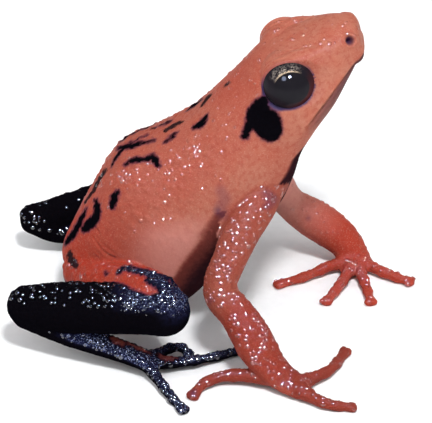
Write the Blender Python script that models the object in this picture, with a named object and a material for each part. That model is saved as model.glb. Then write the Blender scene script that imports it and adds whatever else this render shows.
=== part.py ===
"""Still, life-size model of a Silverstone's poison frog that sits up on its forelimbs.

All shapes are worked out in millimetres on the floor z = 0, with the frog facing +X and its left
side towards +Y. The last step scales them to metres and moves the origin to the middle of the
model's footprint.
"""

import math

import bmesh
import bpy
import numpy as np
from mathutils import Matrix, Vector

METRES_PER_MM = 0.001
MERGE_MM = 0.004
SHARP_DEGREES = 50
GAP = 0.3
RIGHT, LEFT = -1, 1
SIDE_NAME = {RIGHT: "right", LEFT: "left"}

# Sagittal sections of the body, vent to snout: the point on the back (x, z), the point on the
# belly or throat (x, z), the half width, how far up the section is widest (0 belly, 1 back), and
# how square the back is (2 is an ellipse).
BODY_SECTIONS = {
    "vent": ((-5.2, 4.4), (-2.9, 1.5), 1.9, 0.50, 2.0),
    "rump": ((-5.7, 6.6), (0.5, 0.5), 4.3, 0.50, 2.0),
    "hips": ((-4.4, 9.9), (4.7, -0.3), 6.5, 0.45, 2.1),
    "loin": ((-2.2, 14.2), (8.5, 2.2), 8.0, 0.44, 2.2),
    "hump": ((0.6, 18.7), (11.3, 5.3), 8.5, 0.44, 2.3),
    "ribs": ((4.9, 21.0), (13.7, 8.2), 8.5, 0.45, 2.2),
    "chest": ((8.6, 23.4), (16.0, 11.4), 7.9, 0.46, 2.2),
    "shoulders": ((11.2, 26.2), (18.2, 14.1), 7.1, 0.48, 2.2),
    "neck": ((13.5, 28.7), (19.5, 17.3), 6.6, 0.46, 2.3),
    "ears": ((15.5, 30.9), (20.3, 20.5), 6.7, 0.42, 2.4),
    "eyes": ((18.1, 32.6), (21.8, 23.5), 6.5, 0.40, 2.5),
    "cheeks": ((20.5, 33.7), (23.6, 26.2), 5.5, 0.40, 2.5),
    "lores": ((22.7, 34.8), (25.0, 28.6), 4.2, 0.42, 2.5),
    "nostrils": ((24.7, 35.3), (26.0, 30.3), 3.0, 0.44, 2.4),
}
SECTION_NAMES = list(BODY_SECTIONS)
BODY_SEGMENTS = 28
RINGS_PER_SECTION = 3
BELLY_SQUARENESS = 2.35
SNOUT_CAP, VENT_CAP, CAP_BLUNTNESS = 1.1, 0.7, 0.65
SNOUT_TURNS, VENT_TURNS = (0.35, 0.7, 1.05, 1.35), (1.15, 0.75, 0.38)
POLE_SCALE = 0.01

EYE_CENTRE = Vector((18.6, 4.3, 29.8))
EYE_RADIUS, EYE_GAP = 2.5, 0.2
EYE_AXIS = Vector((0.02, 0.95, 0.25))
LID_CENTRE, LID_RADII = Vector((18.5, 3.0, 29.7)), (2.9, 3.6, 2.95)
RIM_RADIUS, RIM_THICKNESS, RIM_HEIGHT = 2.5, 0.42, 0.75
NOSTRIL_CENTRE, NOSTRIL_RADIUS = Vector((24.9, 2.75, 34.0)), 0.4
EARDRUM_CENTRE, EARDRUM_RADIUS, EARDRUM_DEPTH = Vector((16.6, 6.5, 26.2)), 1.3, 0.22

# The mouth line in the sagittal plane, from ahead of the snout to the corner of the mouth, and
# where the jaw's rear edge leaves the throat.
MOUTH_FRONT, MOUTH_MIDDLE, MOUTH_CORNER = (28.0, 34.2), (22.9, 29.6), (19.6, 23.8)
THROAT_EXIT, THROAT_BELOW = (22.6, 19.6), (30.0, 19.0)
LIP_GAP, HEAD_REACH = (-0.1, 0.24), 12.0

# Limbs as centre points with the half width and half height of the section there.
ARM = {
    RIGHT: [
        ((16.2, -3.6, 17.6), 2.5, 2.5),
        ((15.3, -6.6, 16.2), 2.15, 2.15),
        ((13.8, -8.6, 14.3), 2.0, 2.0),
        ((12.7, -10.2, 12.3), 1.8, 1.8),
        ((11.6, -11.6, 9.9), 1.75, 1.75),
        ((11.8, -12.4, 8.5), 1.85, 1.85),
        ((13.2, -13.3, 7.1), 1.85, 1.85),
        ((14.4, -14.3, 5.6), 2.05, 2.0),
        ((15.5, -15.2, 3.9), 2.15, 1.95),
        ((16.8, -16.3, 2.3), 2.0, 1.55),
        ((18.3, -17.2, 1.1), 2.05, 1.15),
        ((20.0, -18.1, 0.8), 1.75, 0.9),
    ],
    LEFT: [
        ((14.6, 4.0, 17.6), 2.5, 2.5),
        ((16.2, 6.5, 13.9), 2.15, 2.15),
        ((17.8, 8.2, 9.9), 1.9, 1.9),
        ((19.4, 8.6, 7.0), 1.8, 1.8),
        ((21.6, 8.3, 5.4), 2.15, 2.15),
        ((24.0, 7.9, 3.8), 2.15, 2.1),
        ((25.8, 7.2, 2.3), 1.95, 1.7),
        ((26.6, 5.9, 1.1), 1.9, 1.15),
        ((26.9, 4.9, 0.8), 1.7, 0.9),
    ],
}
ELBOW_SHARE, WRIST_SHARE = {RIGHT: 0.465, LEFT: 0.51}, {RIGHT: 0.85, LEFT: 0.84}
LIMB_SEGMENTS, LIMB_STEP, PATH_SAMPLES = 14, 0.95, 400
ROOM_SEGMENTS, ROOM_STEP = 24, 0.7
END_TURNS = (0.35, 0.75, 1.15)

THIGH = {
    RIGHT: [
        ((-2.5, -2.4, 5.2), 3.1, 3.0),
        ((-0.2, -7.2, 6.5), 2.9, 2.75),
        ((3.2, -12.0, 9.1), 2.65, 2.5),
        ((5.0, -14.8, 10.5), 2.2, 2.2),
    ],
    LEFT: [
        ((-2.2, 2.0, 5.4), 3.1, 3.0),
        ((0.2, 7.3, 6.2), 2.9, 2.7),
        ((3.2, 12.0, 6.6), 2.6, 2.4),
        ((4.8, 15.0, 6.7), 2.2, 2.1),
    ],
}
SHANK = {
    RIGHT: [
        ((5.8, -16.5, 9.6), 2.65, 2.65),
        ((3.2, -15.1, 8.8), 2.6, 2.6),
        ((-1.1, -12.8, 7.4), 2.7, 2.7),
        ((-5.4, -10.9, 6.3), 2.6, 2.6),
        ((-9.0, -9.6, 5.5), 2.2, 2.2),
    ],
    LEFT: [
        ((3.6, 16.0, 4.9), 2.5, 2.5),
        ((1.6, 15.2, 4.5), 2.5, 2.5),
        ((-2.1, 13.1, 4.0), 2.4, 2.4),
        ((-6.3, 10.7, 4.2), 2.05, 2.05),
        ((-9.6, 9.3, 4.6), 1.45, 1.45),
    ],
}
TARSUS = {
    RIGHT: [
        ((-9.0, -9.9, 4.8), 1.75, 1.75),
        ((-4.6, -11.6, 3.4), 1.4, 1.4),
        ((0.1, -13.0, 2.4), 1.25, 1.2),
        ((2.4, -13.7, 1.9), 1.3, 1.05),
        ((4.1, -14.2, 1.4), 1.5, 0.8),
    ],
    LEFT: [
        ((-9.6, 9.1, 4.2), 1.4, 1.4),
        ((-6.8, 9.4, 2.7), 1.35, 1.35),
        ((-2.4, 9.9, 2.2), 1.25, 1.2),
        ((1.4, 10.6, 1.6), 1.3, 1.05),
        ((3.8, 11.4, 1.1), 1.5, 0.8),
    ],
}
FOOT_SHARE = 0.72

# Digits as the radius at the root and the centre points from root to tip. Digit 1 is innermost.
FINGERS = {
    RIGHT: {
        1: (
            0.74,
            [
                (16.9, -16.8, 1.4),
                (14.6, -16.4, 1.25),
                (12.2, -16.2, 1.1),
                (9.9, -17.1, 0.8),
                (8.6, -18.9, 0.36),
            ],
        ),
        2: (0.6, [(18.0, -16.6, 1.1), (17.4, -13.4, 0.85), (16.7, -9.7, 0.36)]),
        3: (0.62, [(19.8, -17.5, 1.0), (23.1, -14.8, 0.8), (25.0, -10.8, 0.36)]),
        4: (0.62, [(20.0, -18.8, 1.0), (22.6, -20.6, 0.7), (25.4, -20.8, 0.36)]),
    },
    LEFT: {
        1: (0.58, [(26.2, 5.8, 1.2), (23.5, 4.5, 1.0), (21.0, 3.1, 0.7), (17.9, 2.0, 0.36)]),
        2: (0.6, [(26.4, 5.0, 1.1), (24.9, 1.4, 0.8), (23.2, -1.4, 0.36)]),
        3: (0.6, [(27.0, 5.0, 1.0), (27.7, 1.4, 0.75), (28.2, -1.5, 0.36)]),
        4: (0.6, [(27.2, 5.7, 1.1), (30.2, 3.6, 0.75), (32.8, 2.5, 0.36)]),
    },
}
TOES = {
    RIGHT: {
        1: (0.5, [(2.6, -13.6, 1.4), (3.8, -12.3, 0.95), (4.7, -11.3, 0.36)]),
        2: (0.5, [(4.2, -13.8, 1.3), (5.7, -12.0, 1.4), (7.4, -11.3, 1.25), (8.2, -11.8, 0.5)]),
        3: (0.5, [(4.4, -13.9, 1.0), (6.4, -13.1, 0.6), (8.0, -12.6, 0.36)]),
        4: (0.52, [(4.5, -14.2, 1.3), (8.1, -13.6, 1.1), (10.8, -12.4, 0.8), (14.6, -10.3, 0.36)]),
        5: (0.52, [(3.8, -14.3, 1.2), (5.3, -17.2, 0.8), (6.5, -19.4, 0.55), (7.8, -21.3, 0.36)]),
    },
    LEFT: {
        1: (0.5, [(2.0, 10.6, 1.2), (4.1, 9.6, 0.8), (5.8, 9.1, 0.36)]),
        2: (0.5, [(3.5, 11.0, 1.1), (6.2, 10.2, 0.75), (8.7, 10.1, 0.36)]),
        3: (0.5, [(4.0, 11.5, 1.0), (7.8, 11.9, 0.75), (11.4, 12.5, 0.36)]),
        4: (0.52, [(4.1, 11.9, 1.0), (8.2, 14.0, 0.75), (13.2, 15.6, 0.36)]),
        5: (0.52, [(3.3, 11.9, 1.1), (5.4, 15.2, 0.75), (7.2, 18.4, 0.36)]),
    },
}
DIGIT_TIP_RADIUS = 0.46
DISC_RADIUS, DISC_HEIGHT = 0.68, 0.42
DISC_START = 0.84
KNUCKLE_SWELL, KNUCKLE_SHARES, KNUCKLE_SPREAD = 0.10, (0.42, 0.70), 0.07
DIGIT_KNOTS, DIGIT_SEGMENTS, DIGIT_STEP = 13, 8, 0.8

COLOURS = {
    "orange_skin": ((0.62, 0.13, 0.055), 0.38),
    "black_skin": ((0.012, 0.012, 0.018), 0.25),
    "throat_skin": ((0.28, 0.12, 0.11), 0.42),
    "eye": ((0.01, 0.008, 0.008), 0.06),
}


def clear_scene():
    for thing in list(bpy.data.objects):
        bpy.data.objects.remove(thing)


def make_materials():
    made = {}
    for name, (colour, roughness) in COLOURS.items():
        material = bpy.data.materials.new(name)
        material.use_nodes = True
        shader = material.node_tree.nodes["Principled BSDF"]
        shader.inputs["Base Color"].default_value = (*colour, 1.0)
        shader.inputs["Roughness"].default_value = roughness
        shader.inputs["Metallic"].default_value = 0.0
        made[name] = material
    return made


def smooth_rows(knots, count):
    """Rows of numbers read at even steps along the Catmull-Rom curve through the given rows."""
    knots = np.array(knots, float)
    before = 2 * knots[0] - knots[1]
    after = 2 * knots[-1] - knots[-2]
    padded = np.vstack([before, knots, after])
    rows = []
    for share in np.linspace(0, len(knots) - 1, count):
        k = min(int(share), len(knots) - 2)
        t = share - k
        p0, p1, p2, p3 = padded[k : k + 4]
        bend = 2 * p1 + (p2 - p0) * t + (2 * p0 - 5 * p1 + 4 * p2 - p3) * t * t
        rows.append(0.5 * (bend + (3 * p1 - p0 - 3 * p2 + p3) * t**3))
    return np.array(rows)


def closed_skin(rings, first_pole, last_pole):
    """One closed mesh through a list of rings, with a fan to a pole at each end."""
    work = bmesh.new()
    loops = [[work.verts.new(p) for p in ring] for ring in rings]
    poles = [work.verts.new(first_pole), work.verts.new(last_pole)]
    count = len(loops[0])
    for lower, upper in zip(loops, loops[1:]):
        for i in range(count):
            j = (i + 1) % count
            work.faces.new((lower[i], lower[j], upper[j], upper[i]))
    for i in range(count):
        j = (i + 1) % count
        work.faces.new((poles[0], loops[0][j], loops[0][i]))
        work.faces.new((poles[1], loops[-1][i], loops[-1][j]))
    bmesh.ops.recalc_face_normals(work, faces=work.faces)
    return work


def add_object(name, work, material=None):
    mesh = bpy.data.meshes.new(name)
    work.to_mesh(mesh)
    work.free()
    mesh.shade_smooth()
    thing = bpy.data.objects.new(name, mesh)
    bpy.context.scene.collection.objects.link(thing)
    if material:
        mesh.materials.append(material)
    return thing


def as_cutter(thing):
    thing.hide_render = True
    thing.display_type = "WIRE"
    return thing


def apply_boolean(thing, other, operation):
    """Joins, cuts or crosses thing with other by Blender's exact solver and keeps the result."""
    modifier = thing.modifiers.new("join", "BOOLEAN")
    modifier.operation = operation
    modifier.object = other
    modifier.solver = "EXACT"
    graph = bpy.context.evaluated_depsgraph_get()
    result = bpy.data.meshes.new_from_object(thing.evaluated_get(graph))
    thing.modifiers.clear()
    old = thing.data
    thing.data = result
    bpy.data.meshes.remove(old)


def cut_away(thing, cutters):
    for cutter in cutters:
        apply_boolean(thing, cutter, "DIFFERENCE")
    keep_largest(thing)


def keep_largest(thing):
    """Keeps the closed surface with the most faces and drops loose scraps and slivers."""
    work = bmesh.new()
    work.from_mesh(thing.data)
    bmesh.ops.triangulate(work, faces=work.faces)
    bmesh.ops.remove_doubles(work, verts=work.verts, dist=MERGE_MM)
    bmesh.ops.dissolve_degenerate(work, edges=work.edges, dist=MERGE_MM)
    left = set(work.faces)
    islands = []
    while left:
        island, waiting = set(), [left.pop()]
        while waiting:
            face = waiting.pop()
            island.add(face)
            for line in face.edges:
                for neighbour in line.link_faces:
                    if neighbour in left:
                        left.remove(neighbour)
                        waiting.append(neighbour)
        islands.append(island)
    islands.sort(key=len)
    scraps = [face for island in islands[:-1] for face in island]
    bmesh.ops.delete(work, geom=scraps, context="FACES")
    work.to_mesh(thing.data)
    work.free()


def remove(*things):
    for thing in things:
        bpy.data.objects.remove(thing)


def body_rows(first, last):
    """Body sections read between two named ones, each as a row of seven numbers."""
    names = SECTION_NAMES
    rows = [(*back, *belly, *others) for back, belly, *others in BODY_SECTIONS.values()]
    count = (len(names) - 1) * RINGS_PER_SECTION + 1
    smooth = smooth_rows(rows, count)
    return smooth[names.index(first) * RINGS_PER_SECTION : names.index(last) * RINGS_PER_SECTION + 1]


def body_ring(row, grow=0.0, shift=0.0, scale=1.0):
    """A rounded section whose upper and lower halves are superellipses, moved along the spine."""
    back, belly = Vector((row[0], 0, row[1])), Vector((row[2], 0, row[3]))
    up = (back - belly).normalized()
    along = Vector((up.z, 0, -up.x))
    height = (back - belly).length
    middle = belly + up * height * row[5] + along * shift
    half_width = (row[4] + grow) * scale
    rise = (height * (1 - row[5]) + grow) * scale
    drop = (height * row[5] + grow) * scale
    ring = []
    for i in range(BODY_SEGMENTS):
        angle = 2 * math.pi * i / BODY_SEGMENTS
        c, s = math.cos(angle), math.sin(angle)
        power = 2 / (row[6] if s >= 0 else BELLY_SQUARENESS)
        side = half_width * math.copysign(abs(c) ** power, c)
        lift = (rise if s >= 0 else drop) * math.copysign(abs(s) ** power, s)
        point = middle + Vector((0, 1, 0)) * side + up * lift
        point.z = max(point.z, 0.0)
        ring.append(point)
    return ring


def body_piece(name, first, last, vent_end, snout_end, grow=0.0, trim=0.0):
    """A length of the body. An end of the animal is rounded, and a cut end is flat and trimmed."""
    rows = body_rows(first, last)
    rings = [body_ring(row, grow) for row in rows]
    if vent_end:
        caps = [(math.sin(a) * (VENT_CAP + grow), math.cos(a)) for a in VENT_TURNS]
        rings = [body_ring(rows[0], grow, -reach, scale) for reach, scale in caps] + rings
        start = sum(body_ring(rows[0], 0, -(VENT_CAP + grow), POLE_SCALE), Vector()) / BODY_SEGMENTS
    else:
        rings[0] = body_ring(rows[0], grow, trim)
        start = sum(rings[0], Vector()) / BODY_SEGMENTS
    if snout_end:
        caps = [(math.sin(a) * (SNOUT_CAP + grow), math.cos(a) ** CAP_BLUNTNESS) for a in SNOUT_TURNS]
        rings += [body_ring(rows[-1], grow, reach, scale) for reach, scale in caps]
        end = sum(body_ring(rows[-1], 0, SNOUT_CAP + grow, POLE_SCALE), Vector()) / BODY_SEGMENTS
    else:
        rings[-1] = body_ring(rows[-1], grow, -trim)
        end = sum(rings[-1], Vector()) / BODY_SEGMENTS
    return add_object(name, closed_skin(rings, start, end))


def ball(name, centre, radius, scale=(1, 1, 1), segments=20, rings=12):
    work = bmesh.new()
    bmesh.ops.create_uvsphere(work, u_segments=segments, v_segments=rings, radius=radius)
    bmesh.ops.scale(work, vec=scale, verts=work.verts)
    bmesh.ops.translate(work, vec=centre, verts=work.verts)
    return add_object(name, work)


def ring_round(name, centre, axis, radius, tube, segments=26, sides=9):
    """A ring with a round section, square to the axis."""
    axis = axis.normalized()
    across = axis.cross(Vector((1, 0, 0))).normalized()
    other = axis.cross(across)
    work = bmesh.new()
    loops = []
    for i in range(segments):
        turn = 2 * math.pi * i / segments
        out = across * math.cos(turn) + other * math.sin(turn)
        loop = []
        for j in range(sides):
            bend = 2 * math.pi * j / sides
            point = centre + out * (radius + tube * math.cos(bend)) + axis * tube * math.sin(bend)
            loop.append(work.verts.new(point))
        loops.append(loop)
    for i in range(segments):
        here, ahead = loops[i], loops[(i + 1) % segments]
        for j in range(sides):
            k = (j + 1) % sides
            work.faces.new((here[j], here[k], ahead[k], ahead[j]))
    bmesh.ops.recalc_face_normals(work, faces=work.faces)
    return add_object(name, work)


def prism(name, outline, half_width):
    """A block with an outline in the sagittal plane, the same at every width."""
    work = bmesh.new()
    sides = [[work.verts.new((x, y, z)) for x, z in outline] for y in (-half_width, half_width)]
    work.faces.new(sides[0])
    work.faces.new(list(reversed(sides[1])))
    for i in range(len(outline)):
        j = (i + 1) % len(outline)
        work.faces.new((sides[0][j], sides[0][i], sides[1][i], sides[1][j]))
    bmesh.ops.recalc_face_normals(work, faces=work.faces)
    return add_object(name, work)


def mirrored(centre, side):
    return Vector((centre.x, centre.y * side, centre.z))


def limb_ring(centre, ahead, wide, high, segments):
    """An ellipse across the path, with its lower side kept above the floor."""
    side = Vector((0, 0, 1)).cross(ahead).normalized()
    lift = ahead.cross(side)
    ring = []
    for k in range(segments):
        angle = 2 * math.pi * (k + 0.5) / segments
        point = centre + side * wide * math.cos(angle) + lift * high * math.sin(angle)
        ring.append(Vector((point.x, point.y, max(point.z, 0.0))))
    return ring


def round_end(centre, ahead, reach, wide, high, segments):
    """Rings that close an end along a quarter circle, outermost last, and the pole beyond them."""
    rings = []
    for a in END_TURNS:
        middle = centre + ahead * reach * math.sin(a)
        rings.append(limb_ring(middle, ahead, wide * math.cos(a), high * math.cos(a), segments))
    pole = centre + ahead * reach
    return rings, Vector((pole.x, pole.y, max(pole.z, 0.0)))


def limb(name, knots, span=(0.0, 1.0), grow=0.0, segments=LIMB_SEGMENTS, step=LIMB_STEP):
    """A tube along the knots, or the stretch of it between two shares of its length.

    An end of the whole limb is rounded. A cut end is flat, half a gap back from the cut, and both
    sides of a cut are square to the same direction.
    """
    rows = smooth_rows([(*point, wide, high) for point, wide, high in knots], PATH_SAMPLES)
    steps = np.linalg.norm(np.diff(rows[:, :3], axis=0), axis=1)
    length = np.concatenate([[0], np.cumsum(steps)])

    def read(place):
        return [float(np.interp(place, length, rows[:, k])) for k in range(5)]

    def heading(place, radius):
        back, front = max(place - radius, 0.0), min(place + radius, length[-1])
        return (Vector(read(front)[:3]) - Vector(read(back)[:3])).normalized()

    cuts = [share * length[-1] for share in span]
    low = cuts[0] + (GAP / 2 if span[0] > 0 else 0)
    high = cuts[1] - (GAP / 2 if span[1] < 1 else 0)
    count = max(3, round((high - low) / step) + 1)
    places = np.linspace(low, high, count)
    rings, centres, headings = [], [], []
    for i, place in enumerate(places):
        *centre, wide, tall = read(place)
        aim = cuts[0] if i == 0 else cuts[1] if i == count - 1 else place
        headings.append(heading(aim, wide))
        centres.append(Vector(centre))
        rings.append(limb_ring(centres[-1], headings[-1], wide + grow, tall + grow, segments))
    start, end = centres[0], centres[-1]
    if span[0] == 0:
        wide, tall = (value + grow for value in read(low)[3:])
        caps, start = round_end(start, headings[0], -min(wide, tall), wide, tall, segments)
        rings = list(reversed(caps)) + rings
    if span[1] == 1:
        wide, tall = (value + grow for value in read(high)[3:])
        caps, end = round_end(end, headings[-1], min(wide, tall), wide, tall, segments)
        rings = rings + caps
    return add_object(name, closed_skin(rings, start, end))


def digit_knots(root_radius, points):
    """Radii for a digit: a slight taper, swellings at the joints and a small disc at the tip."""
    rows = smooth_rows(points, DIGIT_KNOTS)
    knots = []
    for i, point in enumerate(rows):
        share = i / (DIGIT_KNOTS - 1)
        radius = root_radius + (DIGIT_TIP_RADIUS - root_radius) * share
        for joint in KNUCKLE_SHARES:
            radius += KNUCKLE_SWELL * math.exp(-(((share - joint) / KNUCKLE_SPREAD) ** 2))
        disc = max(0.0, (share - DISC_START) / (1 - DISC_START))
        wide = radius + (DISC_RADIUS - radius) * math.sin(disc * math.pi / 2)
        high = radius + (DISC_HEIGHT - radius) * disc
        knots.append((tuple(point), wide, high))
    return knots


def make_head_and_trunk(materials):
    """The trunk, the head with its lids, nostrils and eardrums, the lower jaw and both eyes."""
    trunk = body_piece("trunk", "vent", "neck", True, False, trim=GAP / 2)
    head = body_piece("head", "neck", "nostrils", False, True, trim=GAP / 2)
    trunk.data.materials.append(materials["orange_skin"])
    head.data.materials.append(materials["orange_skin"])
    for side in (RIGHT, LEFT):
        lid = ball("lid", mirrored(LID_CENTRE, side), 1, LID_RADII)
        axis = mirrored(EYE_AXIS.normalized(), side)
        middle = mirrored(EYE_CENTRE, side) + axis * RIM_HEIGHT
        rim = ring_round("rim", middle, axis, RIM_RADIUS, RIM_THICKNESS)
        apply_boolean(head, lid, "UNION")
        apply_boolean(head, rim, "UNION")
        remove(lid, rim)
    mouth = [MOUTH_FRONT, MOUTH_MIDDLE, MOUTH_CORNER]
    below = [THROAT_EXIT, THROAT_BELOW]
    raised = [(x + LIP_GAP[0], z + LIP_GAP[1]) for x, z in mouth]
    jaw_room = prism("jaw_room", raised + below, HEAD_REACH)
    inset = [(MOUTH_CORNER[0] + GAP, MOUTH_CORNER[1]), (THROAT_EXIT[0] + GAP, THROAT_EXIT[1] + GAP)]
    jaw_block = prism("jaw_block", mouth[:2] + inset + below[1:], HEAD_REACH)
    jaw = head.copy()
    jaw.data = head.data.copy()
    jaw.name = "jaw"
    bpy.context.scene.collection.objects.link(jaw)
    apply_boolean(jaw, jaw_block, "INTERSECT")
    keep_largest(jaw)
    jaw.data.materials.clear()
    jaw.data.materials.append(materials["throat_skin"])
    sockets, pits = [], []
    for side in (RIGHT, LEFT):
        centre = mirrored(EYE_CENTRE, side)
        sockets.append(ball("socket", centre, EYE_RADIUS + EYE_GAP))
        pits.append(ball("nostril", mirrored(NOSTRIL_CENTRE, side), NOSTRIL_RADIUS, segments=8, rings=6))
        dish = EARDRUM_RADIUS**2 / (2 * EARDRUM_DEPTH)
        away = Vector((0.05, side, 0.1)).normalized()
        drum = mirrored(EARDRUM_CENTRE, side) + away * (dish - EARDRUM_DEPTH)
        pits.append(ball("eardrum", drum, dish, segments=36, rings=24))
        eye = ball(f"eye_{SIDE_NAME[side]}", centre, EYE_RADIUS)
        eye.data.materials.append(materials["eye"])
    cut_away(head, [jaw_room, *sockets, *pits])
    remove(jaw_room, jaw_block, *sockets, *pits)
    return trunk, head, jaw


def digits(kind, side, chart, room, material):
    """The digits of one hand or foot, each cut clear of the palm or sole and of those before it."""
    rooms = [room]
    for number, (root_radius, points) in chart.items():
        knots = digit_knots(root_radius, points)
        digit = limb(f"{kind}_{SIDE_NAME[side]}_{number}", knots, segments=DIGIT_SEGMENTS, step=DIGIT_STEP)
        cut_away(digit, rooms)
        digit.data.materials.append(material)
        space = limb("digit_room", knots, grow=GAP, segments=DIGIT_SEGMENTS, step=DIGIT_STEP)
        rooms.append(as_cutter(space))
    remove(*rooms[1:])


def make_arm(side, materials, trunk_room):
    """Upper arm, forearm, hand and four fingers of one side."""
    word = SIDE_NAME[side]
    elbow, wrist = ELBOW_SHARE[side], WRIST_SHARE[side]
    upper = limb(f"upper_arm_{word}", ARM[side], (0, elbow))
    fore = limb(f"forearm_{word}", ARM[side], (elbow, wrist))
    hand = limb(f"hand_{word}", ARM[side], (wrist, 1))
    cut_away(upper, [trunk_room])
    for piece in (upper, fore, hand):
        piece.data.materials.append(materials["orange_skin"])
    hand_room = as_cutter(limb("hand_room", ARM[side], grow=GAP))
    digits("finger", side, FINGERS[side], hand_room, materials["orange_skin"])
    remove(hand_room)


def make_leg(side, materials, trunk_room):
    """Thigh, shank, tarsus, foot and five toes of one side, each cut clear of the shank."""
    word = SIDE_NAME[side]
    thigh = limb(f"thigh_{word}", THIGH[side])
    shank = limb(f"shank_{word}", SHANK[side])
    tarsus = limb(f"tarsus_{word}", TARSUS[side], (0, FOOT_SHARE))
    foot = limb(f"foot_{word}", TARSUS[side], (FOOT_SHARE, 1))
    shank_room = limb("shank_room", SHANK[side], grow=GAP, segments=ROOM_SEGMENTS, step=ROOM_STEP)
    as_cutter(shank_room)
    cut_away(thigh, [trunk_room, shank_room])
    cut_away(shank, [trunk_room])
    cut_away(tarsus, [trunk_room, shank_room])
    cut_away(foot, [shank_room])
    for piece in (thigh, shank, tarsus, foot):
        piece.data.materials.append(materials["black_skin"])
    foot_room = as_cutter(limb("foot_room", TARSUS[side], grow=GAP))
    digits("toe", side, TOES[side], foot_room, materials["black_skin"])
    remove(shank_room, foot_room)


def to_metres():
    """Scales every mesh to metres and puts the origin under the middle of the bounding box."""
    things = [thing for thing in bpy.data.objects if thing.type == "MESH"]
    corners = np.array([vertex.co for thing in things for vertex in thing.data.vertices])
    low, high = corners.min(axis=0), corners.max(axis=0)
    middle = Vector(((low[0] + high[0]) / 2, (low[1] + high[1]) / 2, low[2]))
    for thing in things:
        thing.data.transform(Matrix.Scale(METRES_PER_MM, 4) @ Matrix.Translation(-middle))
        thing.data.set_sharp_from_angle(angle=math.radians(SHARP_DEGREES))
    print("middle of the footprint in mm:", tuple(round(v, 4) for v in middle))


def main():
    clear_scene()
    materials = make_materials()
    make_head_and_trunk(materials)
    trunk_room = as_cutter(body_piece("trunk_room", "vent", "ears", True, False, grow=GAP))
    for side in (RIGHT, LEFT):
        make_arm(side, materials, trunk_room)
        make_leg(side, materials, trunk_room)
    remove(trunk_room)
    to_metres()


main()
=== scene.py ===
"""The finished look of a life-size Silverstone's poison frog that sits up on its forelimbs.

One skin is lofted from the same measured sections as the solids, fused, relaxed where limbs join
the body, shaped round the eyes, mouth and nostrils, and raised into granules. Shapes are worked out
in millimetres on the floor z = 0, with the frog facing +X and its left side towards +Y. The last
step of each piece moves it into the row frame, in metres.
"""

import functools
import itertools
import math

import bmesh
import bpy
import numpy as np
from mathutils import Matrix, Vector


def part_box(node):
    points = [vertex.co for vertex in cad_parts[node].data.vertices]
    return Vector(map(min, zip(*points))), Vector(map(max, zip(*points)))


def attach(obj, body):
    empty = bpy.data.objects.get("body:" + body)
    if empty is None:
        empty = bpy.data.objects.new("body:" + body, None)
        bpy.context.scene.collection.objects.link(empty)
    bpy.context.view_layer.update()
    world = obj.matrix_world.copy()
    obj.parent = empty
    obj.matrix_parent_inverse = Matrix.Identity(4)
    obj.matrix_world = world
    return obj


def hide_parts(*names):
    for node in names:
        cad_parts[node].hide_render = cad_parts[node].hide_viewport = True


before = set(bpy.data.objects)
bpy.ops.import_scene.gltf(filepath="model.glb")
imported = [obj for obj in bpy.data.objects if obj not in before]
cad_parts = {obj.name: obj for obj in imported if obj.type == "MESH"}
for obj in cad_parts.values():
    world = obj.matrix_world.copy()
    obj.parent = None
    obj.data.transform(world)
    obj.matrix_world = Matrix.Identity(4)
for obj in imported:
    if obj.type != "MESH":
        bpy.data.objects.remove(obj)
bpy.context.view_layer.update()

MM = 0.001
SIDES = {"right": -1, "left": 1}


def rows(text):
    """Rows of numbers written in a text, with a comma between rows."""
    return np.array([row.split() for row in text.split(",")], float)


def strokes(text):
    """Chains of rows written in a text, with a semicolon between chains."""
    return [rows(part) for part in text.split(";")]


def headed_rows(text):
    """Chains of rows, each with a number and a colon before it."""
    parts = (part.split(":") for part in text.split(";"))
    return [(float(head), rows(tail)) for head, tail in parts]


def sided(read, text):
    """What a text holds for the right side and, after a bar, for the left."""
    return dict(zip(SIDES, map(read, text.split("|"))))


# Body, vent to snout: the point on the back (x, z), the point on the belly or throat (x, z), the
# half width, how far up the section is widest (0 belly, 1 back), and how square the back is.
BODY_SECTIONS = rows("""
    -5.2 4.4 -2.9 1.5 1.9 .5 2, -5.7 6.6 .5 .5 4.3 .5 2, -4.4 9.9 4.7 -.3 6.5 .45 2.1,
    -2.2 14.2 8.5 2.2 8 .44 2.2, .6 18.7 11.3 5.3 8.5 .44 2.3, 4.9 21 13.7 8.2 8.5 .45 2.2,
    8.6 23.4 16 11.4 7.9 .46 2.2, 11.2 26.2 18.2 14.1 7.1 .48 2.2, 13.5 28.7 19.5 17.3 6.6 .46 2.3,
    15.5 30.9 20.3 20.5 6.7 .42 2.4, 18.1 32.6 21.8 23.5 6.5 .4 2.5, 20.5 33.7 23.6 26.2 5.5 .4 2.5,
    22.7 34.7 24.9 28.7 4.1 .42 2.5, 24.7 35.1 25.7 30.4 2.9 .44 2.4
""")
BELLY_SQUARENESS = 2.35
SNOUT_CAP, VENT_CAP, CAP_BLUNTNESS = 1.1, 0.7, 0.5
BODY_RINGS, BODY_AROUND = 160, 128

# Limbs as rows of centre point, half width and half height.
ARM = sided(rows, """
    16.2 -3.6 17.6 2.5 2.5, 15.3 -6.6 16.2 2.15 2.15, 13.8 -8.6 14.3 2 2, 12.7 -10.2 12.3 1.8 1.8,
    11.6 -11.6 9.9 1.75 1.75, 11.8 -12.4 8.5 1.85 1.85, 13.2 -13.3 7.1 1.85 1.85, 14.4 -14.3 5.6 2.05 2,
    15.5 -15.2 3.9 2.15 1.95, 16.9 -16.2 2.3 1.85 1.5, 18.4 -17 1.2 1.8 1.1, 20 -18 .8 1.6 .85
    |
    14.6 4 17.6 2.5 2.5, 16.2 6.5 13.9 2.15 2.15, 17.8 8.2 9.9 1.9 1.9, 19.4 8.6 7 1.8 1.8,
    21.6 8.3 5.4 2.15 2.15, 24 7.9 3.8 2.15 2.1, 25.8 7.2 2.3 1.95 1.7, 26.6 5.9 1.1 1.95 1.15,
    26.9 4.7 .8 2 .85
""")
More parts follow.
